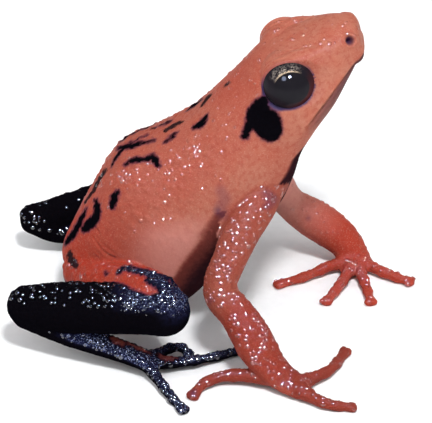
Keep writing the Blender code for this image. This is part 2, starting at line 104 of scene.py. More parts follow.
THIGH = sided(rows, """
    -2.5 -2.4 5.2 3.1 3, -.2 -7.2 6.5 2.9 2.75, 3.2 -12 9.1 2.65 2.5, 5 -14.8 10.5 2.2 2.2
    |
    -2.2 2 5.4 3.1 3, .2 7.3 6.2 2.9 2.7, 3.2 12 6.6 2.6 2.4, 4.8 15 6.7 2.2 2.1
""")
SHANK = sided(rows, """
    5.8 -16.5 9.6 2.65 2.65, 3.2 -15.1 8.8 2.6 2.6, -1.1 -12.8 7.4 2.7 2.7, -5.4 -10.9 6.3 2.6 2.6,
    -9 -9.6 5.5 2.2 2.2
    |
    3.6 16 4.9 2.5 2.5, 1.6 15.2 4.5 2.5 2.5, -2.1 13.1 4 2.4 2.4, -6.3 10.7 4.2 2.05 2.05,
    -9.6 9.3 4.6 1.45 1.45
""")
TARSUS = sided(rows, """
    -9 -9.9 4.8 1.75 1.75, -4.6 -11.6 3.4 1.4 1.4, .1 -13 2.4 1.25 1.2, 2.4 -13.7 1.9 1.3 1.05,
    4.1 -14.2 1.4 1.5 .8
    |
    -9.6 9.1 4.2 1.4 1.4, -6.8 9.4 2.7 1.35 1.35, -2.4 9.9 2.2 1.25 1.2, 1.4 10.6 1.6 1.3 1.05,
    3.8 11.4 1.1 1.5 .8
""")
LIMBS = {"arm": ARM, "thigh": THIGH, "shank": SHANK, "tarsus": TARSUS}
# Digits as the radius at the root and the centre points from root to tip, innermost digit first.
FINGERS = sided(headed_rows, """
    .74: 16.9 -16.8 1.4, 14.6 -16.4 1.25, 12.2 -16.2 1.1, 9.9 -17.1 .8, 8.6 -18.9 .36;
    .6: 18 -16.6 1.1, 17.4 -13.4 .85, 16.7 -9.7 .36;
    .62: 19.8 -17.5 1, 23.1 -14.8 .8, 25 -10.8 .36;
    .62: 20 -18.8 1, 22.6 -20.6 .7, 25.4 -20.8 .36
    |
    .58: 26.2 5.8 1.2, 23.5 4.5 1, 21 3.1 .7, 17.9 2 .36;
    .6: 26.4 5 1.1, 24.9 1.4 .8, 23.2 -1.4 .36;
    .6: 27 5 1, 27.7 1.4 .75, 28.2 -1.5 .36;
    .6: 27.2 5.7 1.1, 30.2 3.6 .75, 32.8 2.5 .36
""")
TOES = sided(headed_rows, """
    .5: 2.6 -13.6 1.4, 3.8 -12.3 .95, 4.7 -11.3 .36;
    .5: 4.2 -13.8 1.3, 5.7 -12 1.4, 7.4 -11.3 1.25, 8.2 -11.8 .5;
    .5: 4.4 -13.9 1, 6.4 -13.1 .6, 8 -12.6 .36;
    .52: 4.5 -14.2 1.3, 8.1 -13.6 1.1, 10.8 -12.4 .8, 14.6 -10.3 .36;
    .52: 3.8 -14.3 1.2, 5.3 -17.2 .8, 6.5 -19.4 .55, 7.8 -21.3 .36
    |
    .5: 2 10.6 1.2, 4.1 9.6 .8, 5.8 9.1 .36;
    .5: 3.5 11 1.1, 6.2 10.2 .75, 8.7 10.1 .36;
    .5: 4 11.5 1, 7.8 11.9 .75, 11.4 12.5 .36;
    .52: 4.1 11.9 1, 8.2 14 .75, 13.2 15.6 .36;
    .52: 3.3 11.9 1.1, 5.4 15.2 .75, 7.2 18.4 .36
""")
DIGIT_TIP_RADIUS, DISC_RADIUS, DISC_HEIGHT, DISC_START = 0.43, 0.70, 0.40, 0.86
KNUCKLE_SWELL, KNUCKLE_SHARES, KNUCKLE_SPREAD = 0.10, (0.42, 0.70), 0.06
ROOT_FLARE, FLARE_SPREAD = 0.26, 0.2

# Head fittings, given for the left side.
EYE_CENTRE, EYE_AXIS = (18.6, 4.3, 29.8), (0.02, 0.95, 0.25)
EYE_BALL, EYE_OPENING, EYE_TILT = 2.74, math.radians(77), 0.25
CORNEA_BULGE = 0.035
UPPER_LID, LOWER_LID = math.radians(13), math.radians(20)
# The upper lid's folds as rise, angle from the opening and spread, and how crisp the lids' edge is.
LID_FOLDS, LID_EDGE = ((0.15, 0.36, 0.10), (-0.05, 0.23, 0.05), (0.10, 0.58, 0.07)), 9.0
LID_MOUND = ((18.5, 3.0, 29.7), (2.9, 3.6, 2.95))
CANTHUS = rows("""
    18.4 3.5 30.9 1.8 1.8, 19.8 3.6 31.6 1.6 1.6, 21.5 3.1 32.3 1.2 1.2, 23.2 2.6 33.1 .9 .9
""")
NOSTRIL, NOSTRIL_AXIS = (24.85, 2.6, 33.85), (0.35, 0.85, 0.4)
EARDRUM, LORE, CANTHUS_CREST = (16.6, 6.5, 26.2), (22.4, 4.6, 31.2), (22.3, 3.5, 33.6)
MOUTH_LINE = rows("""
    19.3 22.1, 20 23.7, 20.6 25.6, 21.9 27.4, 23.5 29.2, 25 30.7, 26.6 32, 28.3 33.2
""")

# How the camera of the photo looks at the frog: the point it aims at, how far away it stands and
# how steeply it looks down.
AIM, STAND_OFF, LOOK_DOWN = (11.1, 0.0, 11.3), 290.0, math.radians(32.5)
PIXELS_PER_MM, PICTURE_WIDTH, SENSOR = 9.22, 432, 36.0
LOOK = (0.0, math.cos(LOOK_DOWN), -math.sin(LOOK_DOWN))

VOXEL, MOST_TRIANGLES = 0.18, 195000
# The belly's direction, and how far the skin must face it to be dark, at heights above the floor.
# The dark is partly the belly's own and partly painted shade where the skin turns downwards.
BELLYWARD = (0.6, 0.0, -0.8)
BELLY_SHADE_LINE = (
    [5, 8, 10.4, 12, 14, 16.3, 17.5, 19, 21.5, 23],
    [0.30, 0.18, 0.11, 0.06, -0.01, -0.06, 0.30, 0.52, 0.60, 0.92],
)
# How much the edge of the dark and painted shade is blurred towards the flank, the trunk's half
# width, and how far along the mouth the jaw is dusky: each at the places in its first list.
BELLY_SHADE_BLUR = ([16, 18], [0.42, 0.14])
TRUNK_WIDTH = ([2, 8, 20, 26], [7.2, 8.9, 8.9, 7.0])
JAW_TONE = ([0.15, 0.35, 0.6, 0.9], [0.0, 0.55, 0.9, 1.0])
SPOT_CELL, DOME_CELL, FINE_DOME_CELL = 3.0, 0.8, 0.45
DOME_HEIGHT, FINE_DOME_HEIGHT = 0.12, 0.03
GRANULE_CELL, GRANULE_RADIUS = 0.46, (0.15, 0.32)
FINE_CELL, FINE_RADIUS = 0.30, (0.10, 0.19)
# A wet granule's rings as degrees of latitude, its flatness, and how deep its middle lies.
BEAD_RINGS, BEAD_FLATNESS, BEAD_DEPTH, BEAD_AROUND = (0, 28, 50, 72), 0.5, 0.22, 8

# Marks as strokes of centre point and half width. A smudge's first number is its strength. The
# first three smudges are painted shade at the near arm's root; the rest are small dark smudges.
BLACK_STROKES = strokes("""
    16 -5.5 28.3 .52, 15.4 -5.4 27.6 .67, 15.1 -5.5 26.9 .83, 15 -5.5 25.9 .78; 15 -5.5 25.9 .7,
    14.6 -5.7 25.7 .47, 14.3 -5.9 25 .42, 14.1 -6.1 24.5 .39; 16 -5.5 28.3 .5, 15.9 -5.9 26.9 1.03,
    16.5 -6.2 26.2 1.34, 16.7 -6.4 25.5 1.3; 15.1 -5.7 26.3 .83, 15.9 -6.2 25.7 .93; 8.8 -2.3 23.3 .23,
    9.3 -2.5 23.6 .36, 9.7 -2.5 24 .38, 10 -2.3 24.4 .27, 10.2 -2.1 24.7 .11; 5.6 -2 21.2 .08,
    6.1 -1.8 21.5 .17, 6.4 -1.7 21.7 .23, 6.7 -1.6 21.9 .2, 7 -1.5 22.1 .1; .8 .9 18.7 .3,
    1.5 .3 19.3 .34, 2.1 -.3 19.7 .32, 2.7 -.2 19.9 .32, 3.2 -.4 20.2 .19, 3.9 -.6 20.4 .16,
    4.5 -.7 20.7 .11; 1.5 -2.8 18.9 .13, 1.9 -2.7 19.2 .23, 2.4 -2.7 19.5 .32, 3 -2.9 19.6 .31,
    3.6 -3.2 19.8 .23, 4.1 -3.3 20 .27, 4.4 -3.2 20.2 .32, 4.8 -3.9 20.1 .38, 5 -4.4 19.9 .24;
    .7 -4.8 16.7 .3, .4 -4.9 16.1 .47, .2 -5 15.6 .44, .1 -5.2 15.2 .28; -1.7 -2.6 14.3 .24,
    -1.6 -3.3 14.1 .4, -1.5 -3.9 13.7 .46, -1.7 -4 13 .54, -2.2 -3.8 12.3 .62, -2.7 -3.4 11.6 .58,
    -3.1 -3.2 11.1 .38; -2.7 -1.6 12.6 .2, -3.1 -1.7 12 .34, -3.5 -1.8 11.4 .44, -3.7 -1.9 10.9 .5,
    -4 -1.8 10.2 .52, -4.4 -1.7 9.5 .48, -4.9 -1.3 8.6 .42, -5.2 -.9 7.8 .34; -.6 -9.1 9.5 .1,
    -.4 -9.7 9.6 .12
""")
KNEE_BAND = strokes("""
    .9 -10.8 10.6 .3, 1.3 -10.2 10.6 .42, 1.9 -10.7 11 .47, 2.7 -11.9 11.5 .5, 3.6 -12.9 12 .54,
    4.3 -13.8 12.4 .62, 5.1 -15 12.6 .72, 5.7 -15.6 12.4 .67, 6.3 -16.6 12.1 .82, 6.6 -17.6 11.8 .93
""")
GREY_STROKES = strokes("""
    11.9 -.1 26.9 .12, 12.3 -.4 27.4 .2, 12.6 -.5 27.7 .12; 9.6 .3 24.3 .16, 9.8 .6 24.5 .28,
    10.1 .9 24.8 .34, 10.4 .9 25.1 .32, 10.6 .8 25.4 .2; 5.8 0 21.5 .24, 6.2 .2 21.7 .3, 6.6 .2 22 .28,
    7.1 .2 22.3 .24, 7.5 0 22.6 .17; 4.2 1.9 20.5 .11, 4.7 1.9 20.7 .13; .6 1 18.4 .12, .8 .9 18.7 .2;
    -.7 -.7 16.9 .32, -1 -.6 16.3 .4, -1.4 -.5 15.7 .42, -1.8 -.5 15 .4, -2 -.7 14.5 .4,
    -2.5 -.5 13.6 .26, -3 -.3 12.8 .3; -4.7 -2.7 7.6 .33, -4.6 -3.1 7.2 .43, -4.2 -4.3 7.4 .41,
    -3.9 -5 7.5 .27
""")
ORANGE_STROKES = strokes("""
    .1 -10.6 10 .4, 1 -11.9 10.5 .44, 1.9 -13.2 11 .5, 2.8 -14.5 11.5 .6, 3.5 -15.5 11.9 .64,
    4.3 -15.9 11.7 .56, 4.8 -16.4 11.9 .38; .1 -12.9 3.6 .34, .7 -13.1 3.3 .38, 1.2 -13.5 3.3 .32;
    1.8 -13.2 3.2 .19, 2.6 -13.5 2.9 .23, 3.5 -13.7 2.6 .23, 4.1 -13.7 2.3 .19; 4.8 -13.5 1.6 .3,
    5.6 -13.8 1.7 .38, 6.3 -13.9 1.7 .32, 6.9 -13.7 1.6 .17
""")
SMUDGES_AND_ARM_SHADE = headed_rows("""
    .75: 11.3 -8.1 16.6 .36; .34: 11.6 -7.6 18.8 .5, 12 -7.8 17.9 .6, 11.7 -8 17.1 .6, 11.9 -8.2 15.9 .4;
    .42: 16.4 -7.2 18.1 .4, 17 -7.3 17.5 .6, 16.5 -8 17.1 .4; .7: 8.7 -18.8 .8 .25; .8: 21.4 6.4 6.3 .12;
    .7: 10.5 -13.6 8.9 .12; .8: 4.9 -15.9 1.3 .2, 5.1 -16.9 1.3 .2
""")
WRINKLES = strokes("""
    -2.6 -4.6 11.6 0, -1.8 -5.1 10.9 0, -.7 -6.2 10.1 0, .3 -7 9.9 0; -2.6 -4.9 10.4 0, -1.6 -5.9 9.8 0,
    -.6 -6.8 9.3 0; -1.6 -4.9 12.1 0, -.4 -5.9 11.3 0, .8 -6.8 10.7 0; 13.8 -7.1 21.5 0, 13.4 -7.4 20.2 0,
    13.5 -7.6 19 0
""")
# Clusters of wet granules on the back, the crown and above the eye.
WET_PATCHES = strokes("""
    .2 -3.3 17.8 .9, 1.4 -4 18.3 .8, 2.4 -4.3 18.8 .6; 4.4 -5.4 19.1 .6, 5.2 -4.9 19.8 .5; 6.3 -5 20.3 .7,
    7.5 -4.3 21.4 .9, 8.6 -4.1 22.4 1, 9.6 -3.9 23.2 .8; 7.6 -5.3 20.8 .5, 9.1 -5.4 21.8 .6;
    13.3 -3.3 27.5 .3; 12.5 -4.9 25.1 .3; 17.4 2.2 32.4 .6
""")


# Lamps: azimuth from the camera's side towards the frog's front, elevation, distance, size, power,
# whether glossy skin shows it, and whether it lights the skin's own colour.
LAMPS = [
    ("key_light", 12, 60, 0.36, 0.055, 1.0, True, True),
    ("glint_light", 10, 61, 0.36, 0.06, 11.0, True, False),
    ("second_glint", -34, 50, 0.36, 0.12, 2.0, True, False),
    ("soft_box", -20, 62, 0.55, 0.50, 0.70, False, True),
    ("side_box", -75, 35, 0.6, 0.40, 0.75, False, True),
    ("front_box", 70, 30, 0.6, 0.40, 0.75, False, True),
    ("back_box", 200, 50, 0.6, 0.40, 0.5, False, True),
]
GLINT_COLOUR, FLOOR_REACH = (0.60, 0.70, 1.0), 0.8


# Small helpers on whole arrays.


def ease(low, high, value):
    """0 below low and 1 above high, with the smooth cubic 3t^2 - 2t^3 between them."""
    t = np.clip((value - low) / (high - low), 0.0, 1.0)
    return t * t * (3 - 2 * t)


def hill(distance, spread):
    """The bell curve exp(-(distance / spread)^2)."""
    return np.exp(-((distance / spread) ** 2))


def unit(vectors):
    """Vectors divided by their own lengths."""
    return vectors / np.linalg.norm(vectors, axis=-1, keepdims=True)


def most(*numbers):
    """The greatest of several numbers at each point."""
    return functools.reduce(np.maximum, numbers)


def gap_to(place, points, squash=1.0):
    """Each point's distance from a place, with the axes scaled by squash first."""
    return np.linalg.norm((points - place) * squash, axis=1)


def nearest(candidates):
    """The numbers of the nearest candidate at each point, where each gives its distance first."""
    best = next(candidates)
    for other in candidates:
        nearer = other[0] < best[0]
        best = [np.where(nearer, new, old) for new, old in zip(other, best)]
    return best


def on_side(point, side):
    """A point given for the left side, moved to the asked side by the sign of its y."""
    return np.array(point, float) * (1, SIDES[side], 1)


def smooth_rows(knots, count):
    """Rows of numbers read at even steps along the Catmull-Rom curve through the knots."""
    knots = np.asarray(knots, float)
    padded = np.vstack([2 * knots[0] - knots[1], knots, 2 * knots[-1] - knots[-2]])
    share = np.linspace(0, len(knots) - 1, count)
    k = np.minimum(share.astype(int), len(knots) - 2)
    t = (share - k)[:, None]
    p0, p1, p2, p3 = (padded[k + i] for i in range(4))
    bend = 2 * p1 + (p2 - p0) * t + (2 * p0 - 5 * p1 + 4 * p2 - p3) * t * t
    return 0.5 * (bend + (3 * p1 - p0 - 3 * p2 + p3) * t**3)


# Closed surfaces: a grid of rings with a pole at each end.


def body_surface():
    """The body as rings along the spine.

    A ring's point at angle a lies at half width * sign(cos a) |cos a|^(2/n) across, and at rise or
    drop * sign(sin a) |sin a|^(2/n) up, where n is the squareness of that half. The ends are
    closed by shrinking the last ring along a quarter turn.
    """
    turn = np.linspace(0, math.pi / 2, 12)[1:-1]
    out, narrow = np.sin(turn), np.cos(turn)
    table = np.pad(smooth_rows(BODY_SECTIONS, BODY_RINGS), ((10, 10), (0, 0)), "edge")
    shift = np.concatenate([-out[::-1] * VENT_CAP, np.zeros(BODY_RINGS), out * SNOUT_CAP])[:, None]
    scale = np.concatenate([narrow[::-1], np.ones(BODY_RINGS), narrow**CAP_BLUNTNESS])[:, None]
    zero = np.zeros(len(table))
    back = np.stack([table[:, 0], zero, table[:, 1]], 1)
    belly = np.stack([table[:, 2], zero, table[:, 3]], 1)
    height = np.linalg.norm(back - belly, axis=1, keepdims=True)
    up = (back - belly) / height
    along = np.stack([up[:, 2], zero, -up[:, 0]], 1)
    share, half_width, square = table[:, 5:6], table[:, 4:5], table[:, 6:7]
    middle = belly + up * height * share + along * shift
    angle = np.linspace(0, 2 * math.pi, BODY_AROUND, endpoint=False)[None]
    c, s = np.cos(angle), np.sin(angle)
    power = 2 / np.where(s >= 0, square, BELLY_SQUARENESS)
    side = half_width * scale * np.sign(c) * np.abs(c) ** power
    reach = np.where(s >= 0, height * (1 - share), height * share)
    lift = reach * scale * np.sign(s) * np.abs(s) ** power
    rings = middle[:, None] + up[:, None] * lift[..., None]
    rings[..., 1] += side
    poles = [middle[0] - along[0] * 0.002, middle[-1] + along[-1] * 0.002]
    return rings, poles


def limb_surface(knots, around=44, step=0.22):
    """A tube: an ellipse across a smooth path, with each end rounded along a quarter circle."""
    rows = smooth_rows(knots, 400)
    steps = np.linalg.norm(np.diff(rows[:, :3], axis=0), axis=1)
    length = np.concatenate([[0], np.cumsum(steps)])

    def read(place):
        return np.stack([np.interp(place, length, rows[:, k]) for k in range(5)], -1)

    place = np.linspace(0, length[-1], max(6, round(length[-1] / step)))
    table = read(place)
    window = table[:, 3:4]
    ahead = read(np.minimum(place + window[:, 0], length[-1]))[:, :3]
    ahead = unit(ahead - read(np.maximum(place - window[:, 0], 0.0))[:, :3])
    turn = np.linspace(0, math.pi / 2, 9)[1:-1]
    first_reach, last_reach = table[0, 3:].min(), table[-1, 3:].min()
    before = table[0, :3] - ahead[0] * first_reach * np.sin(turn[::-1])[:, None]
    after = table[-1, :3] + ahead[-1] * last_reach * np.sin(turn)[:, None]
    centre = np.vstack([before, table[:, :3], after])
    ahead = np.pad(ahead, ((7, 7), (0, 0)), "edge")
    narrow = np.concatenate([np.cos(turn[::-1]), np.ones(len(place)), np.cos(turn)])[:, None]
    wide, high = (np.pad(table[:, k], 7, "edge")[:, None] * narrow for k in (3, 4))
    side = unit(np.cross((0, 0, 1), ahead))
    lift = np.cross(ahead, side)
    angle = np.linspace(0, 2 * math.pi, around, endpoint=False)[None]
    across, upward = wide * np.cos(angle), high * np.sin(angle)
    rings = centre[:, None] + side[:, None] * across[..., None] + lift[:, None] * upward[..., None]
    poles = [table[0, :3] - ahead[0] * first_reach, table[-1, :3] + ahead[-1] * last_reach]
    return rings, poles


def digit_knots(root_radius, points):
    """A digit's rows: a slight taper, swellings at the joints and a small flat disc at the tip."""
    centre = smooth_rows(points, 25)
    share = np.linspace(0, 1, len(centre))
    radius = root_radius + (DIGIT_TIP_RADIUS - root_radius) * share + ROOT_FLARE * hill(share, FLARE_SPREAD)
    for joint in KNUCKLE_SHARES:
        radius = radius + KNUCKLE_SWELL * hill(share - joint, KNUCKLE_SPREAD)
    disc = np.clip((share - DISC_START) / (1 - DISC_START), 0, 1)
    wide = radius + (DISC_RADIUS - radius) * np.sin(disc * math.pi / 2)
    high = radius + (DISC_HEIGHT - radius) * disc
    return np.column_stack([centre, wide, high])


def ball_grid(latitude, around):
    """A unit ball's points at some latitudes and evenly round it."""
    level, reach = np.sin(latitude)[:, None], np.cos(latitude)[:, None]
    longitude = np.linspace(0, 2 * math.pi, around, endpoint=False)[None]
    return np.stack(np.broadcast_arrays(reach * np.cos(longitude), reach * np.sin(longitude), level), -1)


def ball_surface(centre, radii):
    """An ellipsoid: a unit ball times its three radii."""
    points = centre + ball_grid(np.linspace(-math.pi / 2, math.pi / 2, 42)[1:-1], 64) * np.array(radii)
    return points, [centre - (0, 0, radii[2]), centre + (0, 0, radii[2])]


def grid_faces(rings, around):
    """Quads between rings and triangles to the two poles, which are numbered last."""
    i, j = np.meshgrid(np.arange(rings - 1), np.arange(around), indexing="ij")
    k = (j + 1) % around
    quads = np.stack([i * around + j, i * around + k, (i + 1) * around + k, (i + 1) * around + j], -1)
    low, high = rings * around, rings * around + 1
    j = np.arange(around)
    k = (j + 1) % around
    first = np.stack([np.full(around, low), k, j], -1)
    last = np.stack([np.full(around, high), (rings - 1) * around + j, (rings - 1) * around + k], -1)
    return quads.reshape(-1, 4), np.vstack([first, last])


def closed_arrays(surface):
    """Vertices and faces of one closed surface, turned so that its faces point outwards."""
    rings, poles = surface
    points = np.vstack([rings.reshape(-1, 3), np.array(poles)])
    quads, tips = grid_faces(rings.shape[0], rings.shape[1])
    a, b, c = (points[quads[:, k]] for k in (0, 1, 2))
    d = points[quads[:, 3]]
    volume = np.einsum("ij,ij->", a, np.cross(b, c)) + np.einsum("ij,ij->", a, np.cross(c, d))
    if volume < 0:
        quads, tips = quads[:, ::-1], tips[:, ::-1]
    return points, quads, tips


# The fused skin.


def read_mesh(mesh):
    """Vertex positions and edges of a mesh as arrays."""
    points = np.empty(len(mesh.vertices) * 3)
    mesh.vertices.foreach_get("co", points)
    edges = np.empty(len(mesh.edges) * 2, int)
    mesh.edges.foreach_get("vertices", edges)
    return points.reshape(-1, 3), edges.reshape(-1, 2)


def write_points(mesh, points):
    mesh.vertices.foreach_set("co", np.ascontiguousarray(points, dtype=np.float32).ravel())
    mesh.update()


def read_normals(mesh):
    normals = np.empty(len(mesh.vertices) * 3)
    mesh.vertex_normals.foreach_get("vector", normals)
    return normals.reshape(-1, 3)


def new_object(name, data):
    """An object of the scene, at the origin."""
    made = bpy.data.objects.new(name, data)
    bpy.context.scene.collection.objects.link(made)
    return made


def new_mesh(name, points, faces):
    mesh = bpy.data.meshes.new(name)
    mesh.from_pydata(points.tolist(), [], faces)
    return mesh


def with_modifier(mesh, kind, **settings):
    """The mesh as one modifier leaves it."""
    holder = new_object("holder", mesh)
    modifier = holder.modifiers.new("modifier", kind)
    for name, value in settings.items():
        setattr(modifier, name, value)
    graph = bpy.context.evaluated_depsgraph_get()
    flesh = holder.evaluated_get(graph)
    made = bpy.data.meshes.new_from_object(flesh, preserve_all_data_layers=True, depsgraph=graph)
    bpy.data.objects.remove(holder)
    return made


def fuse(surfaces):
    """One closed mesh round all the surfaces, resampled on even cells by a voxel remesh."""
    points, faces, base = [], [], 0
    for surface in surfaces:
        corners, quads, tips = closed_arrays(surface)
        corners[:, 2] = np.maximum(corners[:, 2], 0.0)
        points.append(corners)
        faces += (quads + base).tolist() + (tips + base).tolist()
        base += len(corners)
    return with_modifier(new_mesh("flesh", np.vstack(points), faces), "REMESH", mode="VOXEL", voxel_size=VOXEL)


def relaxed(points, edges, weight, passes, push_back=True):
    """Moves each point towards the mean of its neighbours, then partly back to keep volume."""
    count = len(points)
    ends = np.concatenate([edges, edges[:, ::-1]])
    degree = np.bincount(ends[:, 0], minlength=count)[:, None]
    weight = np.broadcast_to(weight, (count,))[:, None]
    for _ in range(passes):
        for rate in (0.5, -0.51) if push_back else (0.5,):
            mean = np.stack([np.bincount(ends[:, 0], points[ends[:, 1], k], count) for k in range(3)], 1)
            points = points + rate * weight * (mean / np.maximum(degree, 1) - points)
    return points


def fill_hollows(points, edges, normals, near):
    """Smooths a part and keeps only what this raises, so that hollows fill and ridges stay."""
    chosen = np.flatnonzero(near > 0)
    place = np.full(len(points), -1)
    place[chosen] = np.arange(len(chosen))
    own = place[edges]
    own = own[(own >= 0).all(1)]
    calm = relaxed(points[chosen], own, near[chosen], 500, push_back=False)
    lift = np.einsum("ij,ij->i", calm - points[chosen], normals[chosen])
    points[chosen] += normals[chosen] * np.maximum(lift, 0)[:, None]
    return points


def refine(mesh, wanted):
    """Splits each edge whose two ends are wanted, so that the face there has finer cells."""
    work = bmesh.new()
    work.from_mesh(mesh)
    work.edges.ensure_lookup_table()
    _, edges = read_mesh(mesh)
    chosen = np.flatnonzero(wanted[edges[:, 0]] & wanted[edges[:, 1]])
    picked = [work.edges[i] for i in chosen]
    bmesh.ops.subdivide_edges(work, edges=picked, cuts=1, use_grid_fill=True)
    work.to_mesh(mesh)
    work.free()


def mouth_distance(points):
    """Signed distance to the mouth line in side view, above positive, and the share along it."""
    side_view = points[:, (0, 2)]

    def parts():
        for i, (start, end) in enumerate(zip(MOUTH_LINE, MOUTH_LINE[1:])):
            run = end - start
            t = np.clip((side_view - start) @ run / (run @ run), 0, 1)
            away = side_view - (start + t[:, None] * run)
            distance = np.linalg.norm(away, axis=1)
            above = np.sign(run[0] * away[:, 1] - run[1] * away[:, 0])
            yield distance, distance * above, (i + t) / (len(MOUTH_LINE) - 1)

    return nearest(parts())[1:]


def eye_frame(side):
    """An eye's centre, its axis outwards, and the directions forward and up across it."""
    axis = unit(on_side(EYE_AXIS, side))
    forward = unit(np.array((1.0, 0, 0)) - axis * axis[0])
    upward = np.cross(forward, axis) * SIDES[side]
    return on_side(EYE_CENTRE, side), axis, forward, upward


def eye_angles(points, side):
    """Distance from the eye's centre, angle from its axis, turn about it and the lids' opening.

    The opening is widest to front and back. The lids close it by a share of the squared sine of
    the turn, more above than below, and the whole opening is tilted up at the front.
    """
    centre, axis, forward, upward = eye_frame(side)
    away = points - centre
    reach = np.linalg.norm(away, axis=1)
    angle = np.arccos(np.clip(away @ axis / reach, -1, 1))
    turn = np.arctan2(away @ upward, away @ forward) - EYE_TILT
    height = np.sin(turn)
    opening = EYE_OPENING - np.where(height > 0, UPPER_LID, LOWER_LID) * height**2
    return reach, angle, height, opening


def round_the_eyes(points):
    """Shapes the lids.

    A point's distance from the eye's centre becomes a function of its angle from the eye's axis:
    inside the opening it drops under the eyeball, at the margin it rises to a rounded lid, and
    above the eye a shallow furrow and a low fold follow the margin.
    """
    for side in SIDES:
        centre = on_side(EYE_CENTRE, side)
        reach, angle, height, opening = eye_angles(points, side)
        above = ease(0.0, 0.6, height)
        lid = EYE_BALL + 0.07 + (0.08 + 0.07 * above) * hill(angle - opening - 0.09, 0.13)
        for rise, place, spread in LID_FOLDS:
            lid += above * rise * hill(angle - opening - place, spread)
        over = np.logaddexp(LID_EDGE * reach, LID_EDGE * lid) / LID_EDGE
        over -= math.log(2) / LID_EDGE * hill(reach - lid, 0.3)
        outside = reach + (over - reach) * (1 - ease(1.6, 2.2, angle))
        inside = ease(opening + 0.01, opening - 0.09, angle)
        target = outside + (EYE_BALL - 0.35 - outside) * inside
        target = np.where((reach < 4.6) & (angle < 2.3), target, reach)
        points = centre + (points - centre) / reach[:, None] * target[:, None]
    return points


def near_eyes(points):
    """1 close to the eyes and 0 elsewhere, for evening the cells that the lids have stretched."""
    return most(*(ease(4.2, 3.6, gap_to(eye_frame(side)[0], points)) for side in SIDES))


def head_depth(points):
    """How far the skin stands out in millimetres, as a sum of bells round the head's features."""
    signed, share = mouth_distance(points)
    in_head = ease(17.5, 19.0, points[:, 0]) * ease(21.5, 23.5, points[:, 2])
    along = ease(0.12, 0.42, share) * in_head
    depth = -0.36 * hill(signed, 0.14) * along
    depth += 0.14 * hill(signed - 0.40, 0.26) * along
    depth += 0.04 * hill(signed + 0.5, 0.3) * along
    for side in SIDES:
        to_nostril = gap_to(on_side(NOSTRIL, side), points)
        depth += -0.9 * hill(to_nostril, 0.31) + 0.20 * hill(to_nostril - 0.64, 0.20)
        to_drum = gap_to(on_side(EARDRUM, side), points)
        depth += -0.12 * (1 - ease(0.8, 1.25, to_drum)) + 0.06 * hill(to_drum - 1.45, 0.25)
        depth -= 0.14 * hill(gap_to(on_side(LORE, side), points), 1.3)
        depth += 0.10 * hill(gap_to(on_side(CANTHUS_CREST, side), points, (0.45, 1, 1)), 0.9)
        wrinkle = -stroke_field(points, WRINKLES, side=-SIDES[side], squeeze=1.0)
        depth += 0.08 * hill(wrinkle - 0.30, 0.18) - 0.16 * hill(wrinkle, 0.15)
    return depth


def section_height(points):
    """Where a point is in its body section: -1 at the belly, 0 at the widest line, 1 on the back."""
    table = smooth_rows(BODY_SECTIONS, 80)
    side_view = points[:, (0, 2)]

    def sections():
        for back, belly, share in zip(table[:, :2], table[:, 2:4], table[:, 5]):
            run = back - belly
            along = ((side_view - belly) @ run) / (run @ run)
            distance = np.abs((side_view - belly) @ np.array((run[1], -run[0]))) / np.linalg.norm(run)
            distance = distance + 4 * np.maximum(np.abs(along - 0.5) - 0.6, 0)
            yield distance, (along - share) / np.where(along > share, 1 - share, share)

    return nearest(sections())[1]


def cells(points, size, seed):
    """The nearest jittered cell: distance to its centre in cells, a random number, and its code.

    Each cell's centre is moved by three numbers drawn from its own whole-number place and the
    seed, so that the same point always gives the same cell.
    """
    home = np.floor(points / size).astype(np.int64)

    def around():
        for step in itertools.product((-1, 0, 1), repeat=3):
            cell = home + step
            name = cell[:, 0] * 73856093 ^ cell[:, 1] * 19349663 ^ cell[:, 2] * 83492791 ^ seed * 2654435761
            code, draws = name, []
            for _ in range(4):
                code = (code * 6364136223846793005 + 1442695040888963407) & 0x7FFFFFFFFFFFFFFF
                draws.append(((code >> 33) & 0xFFFF) / 65535.0)
            centre = (cell + np.stack(draws[:3], 1)) * size
            yield gap_to(centre, points) / size, draws[3], name

    return nearest(around())


def stroke_field(points, strokes, side=1, squeeze=0.5):
    """Millimetres inside the nearest stroke, negative outside.

    A stroke is a chain of capsules. The part of the distance along the line of sight is squeezed,
    so that a stroke keeps its width on skin that slants away.
    """
    look = np.array(LOOK) * (1, side, 1)
    inside = np.full(len(points), -9.0)
    for stroke in strokes:
        row = np.array(stroke) * (1, side, 1, 1)
        for start, end in zip(row, row[1:] if len(row) > 1 else row):
            run = end[:3] - start[:3]
            t = np.clip((points - start[:3]) @ run / max(run @ run, 1e-9), 0, 1)
            away = points - (start[:3] + t[:, None] * run)
            away -= (1 - squeeze) * (away @ look)[:, None] * look
            radius = start[3] + t * (end[3] - start[3])
            inside = np.maximum(inside, radius - np.linalg.norm(away, axis=1))
    return inside


def limb_nearness(points, knots, samples=36):
    """Distance from the limb's own surface, and the share along it of the nearest place."""
    table = enumerate(smooth_rows(knots, samples))
    return nearest((gap_to(row[:3], points) - 0.5 * (row[3] + row[4]), i / (samples - 1)) for i, row in table)


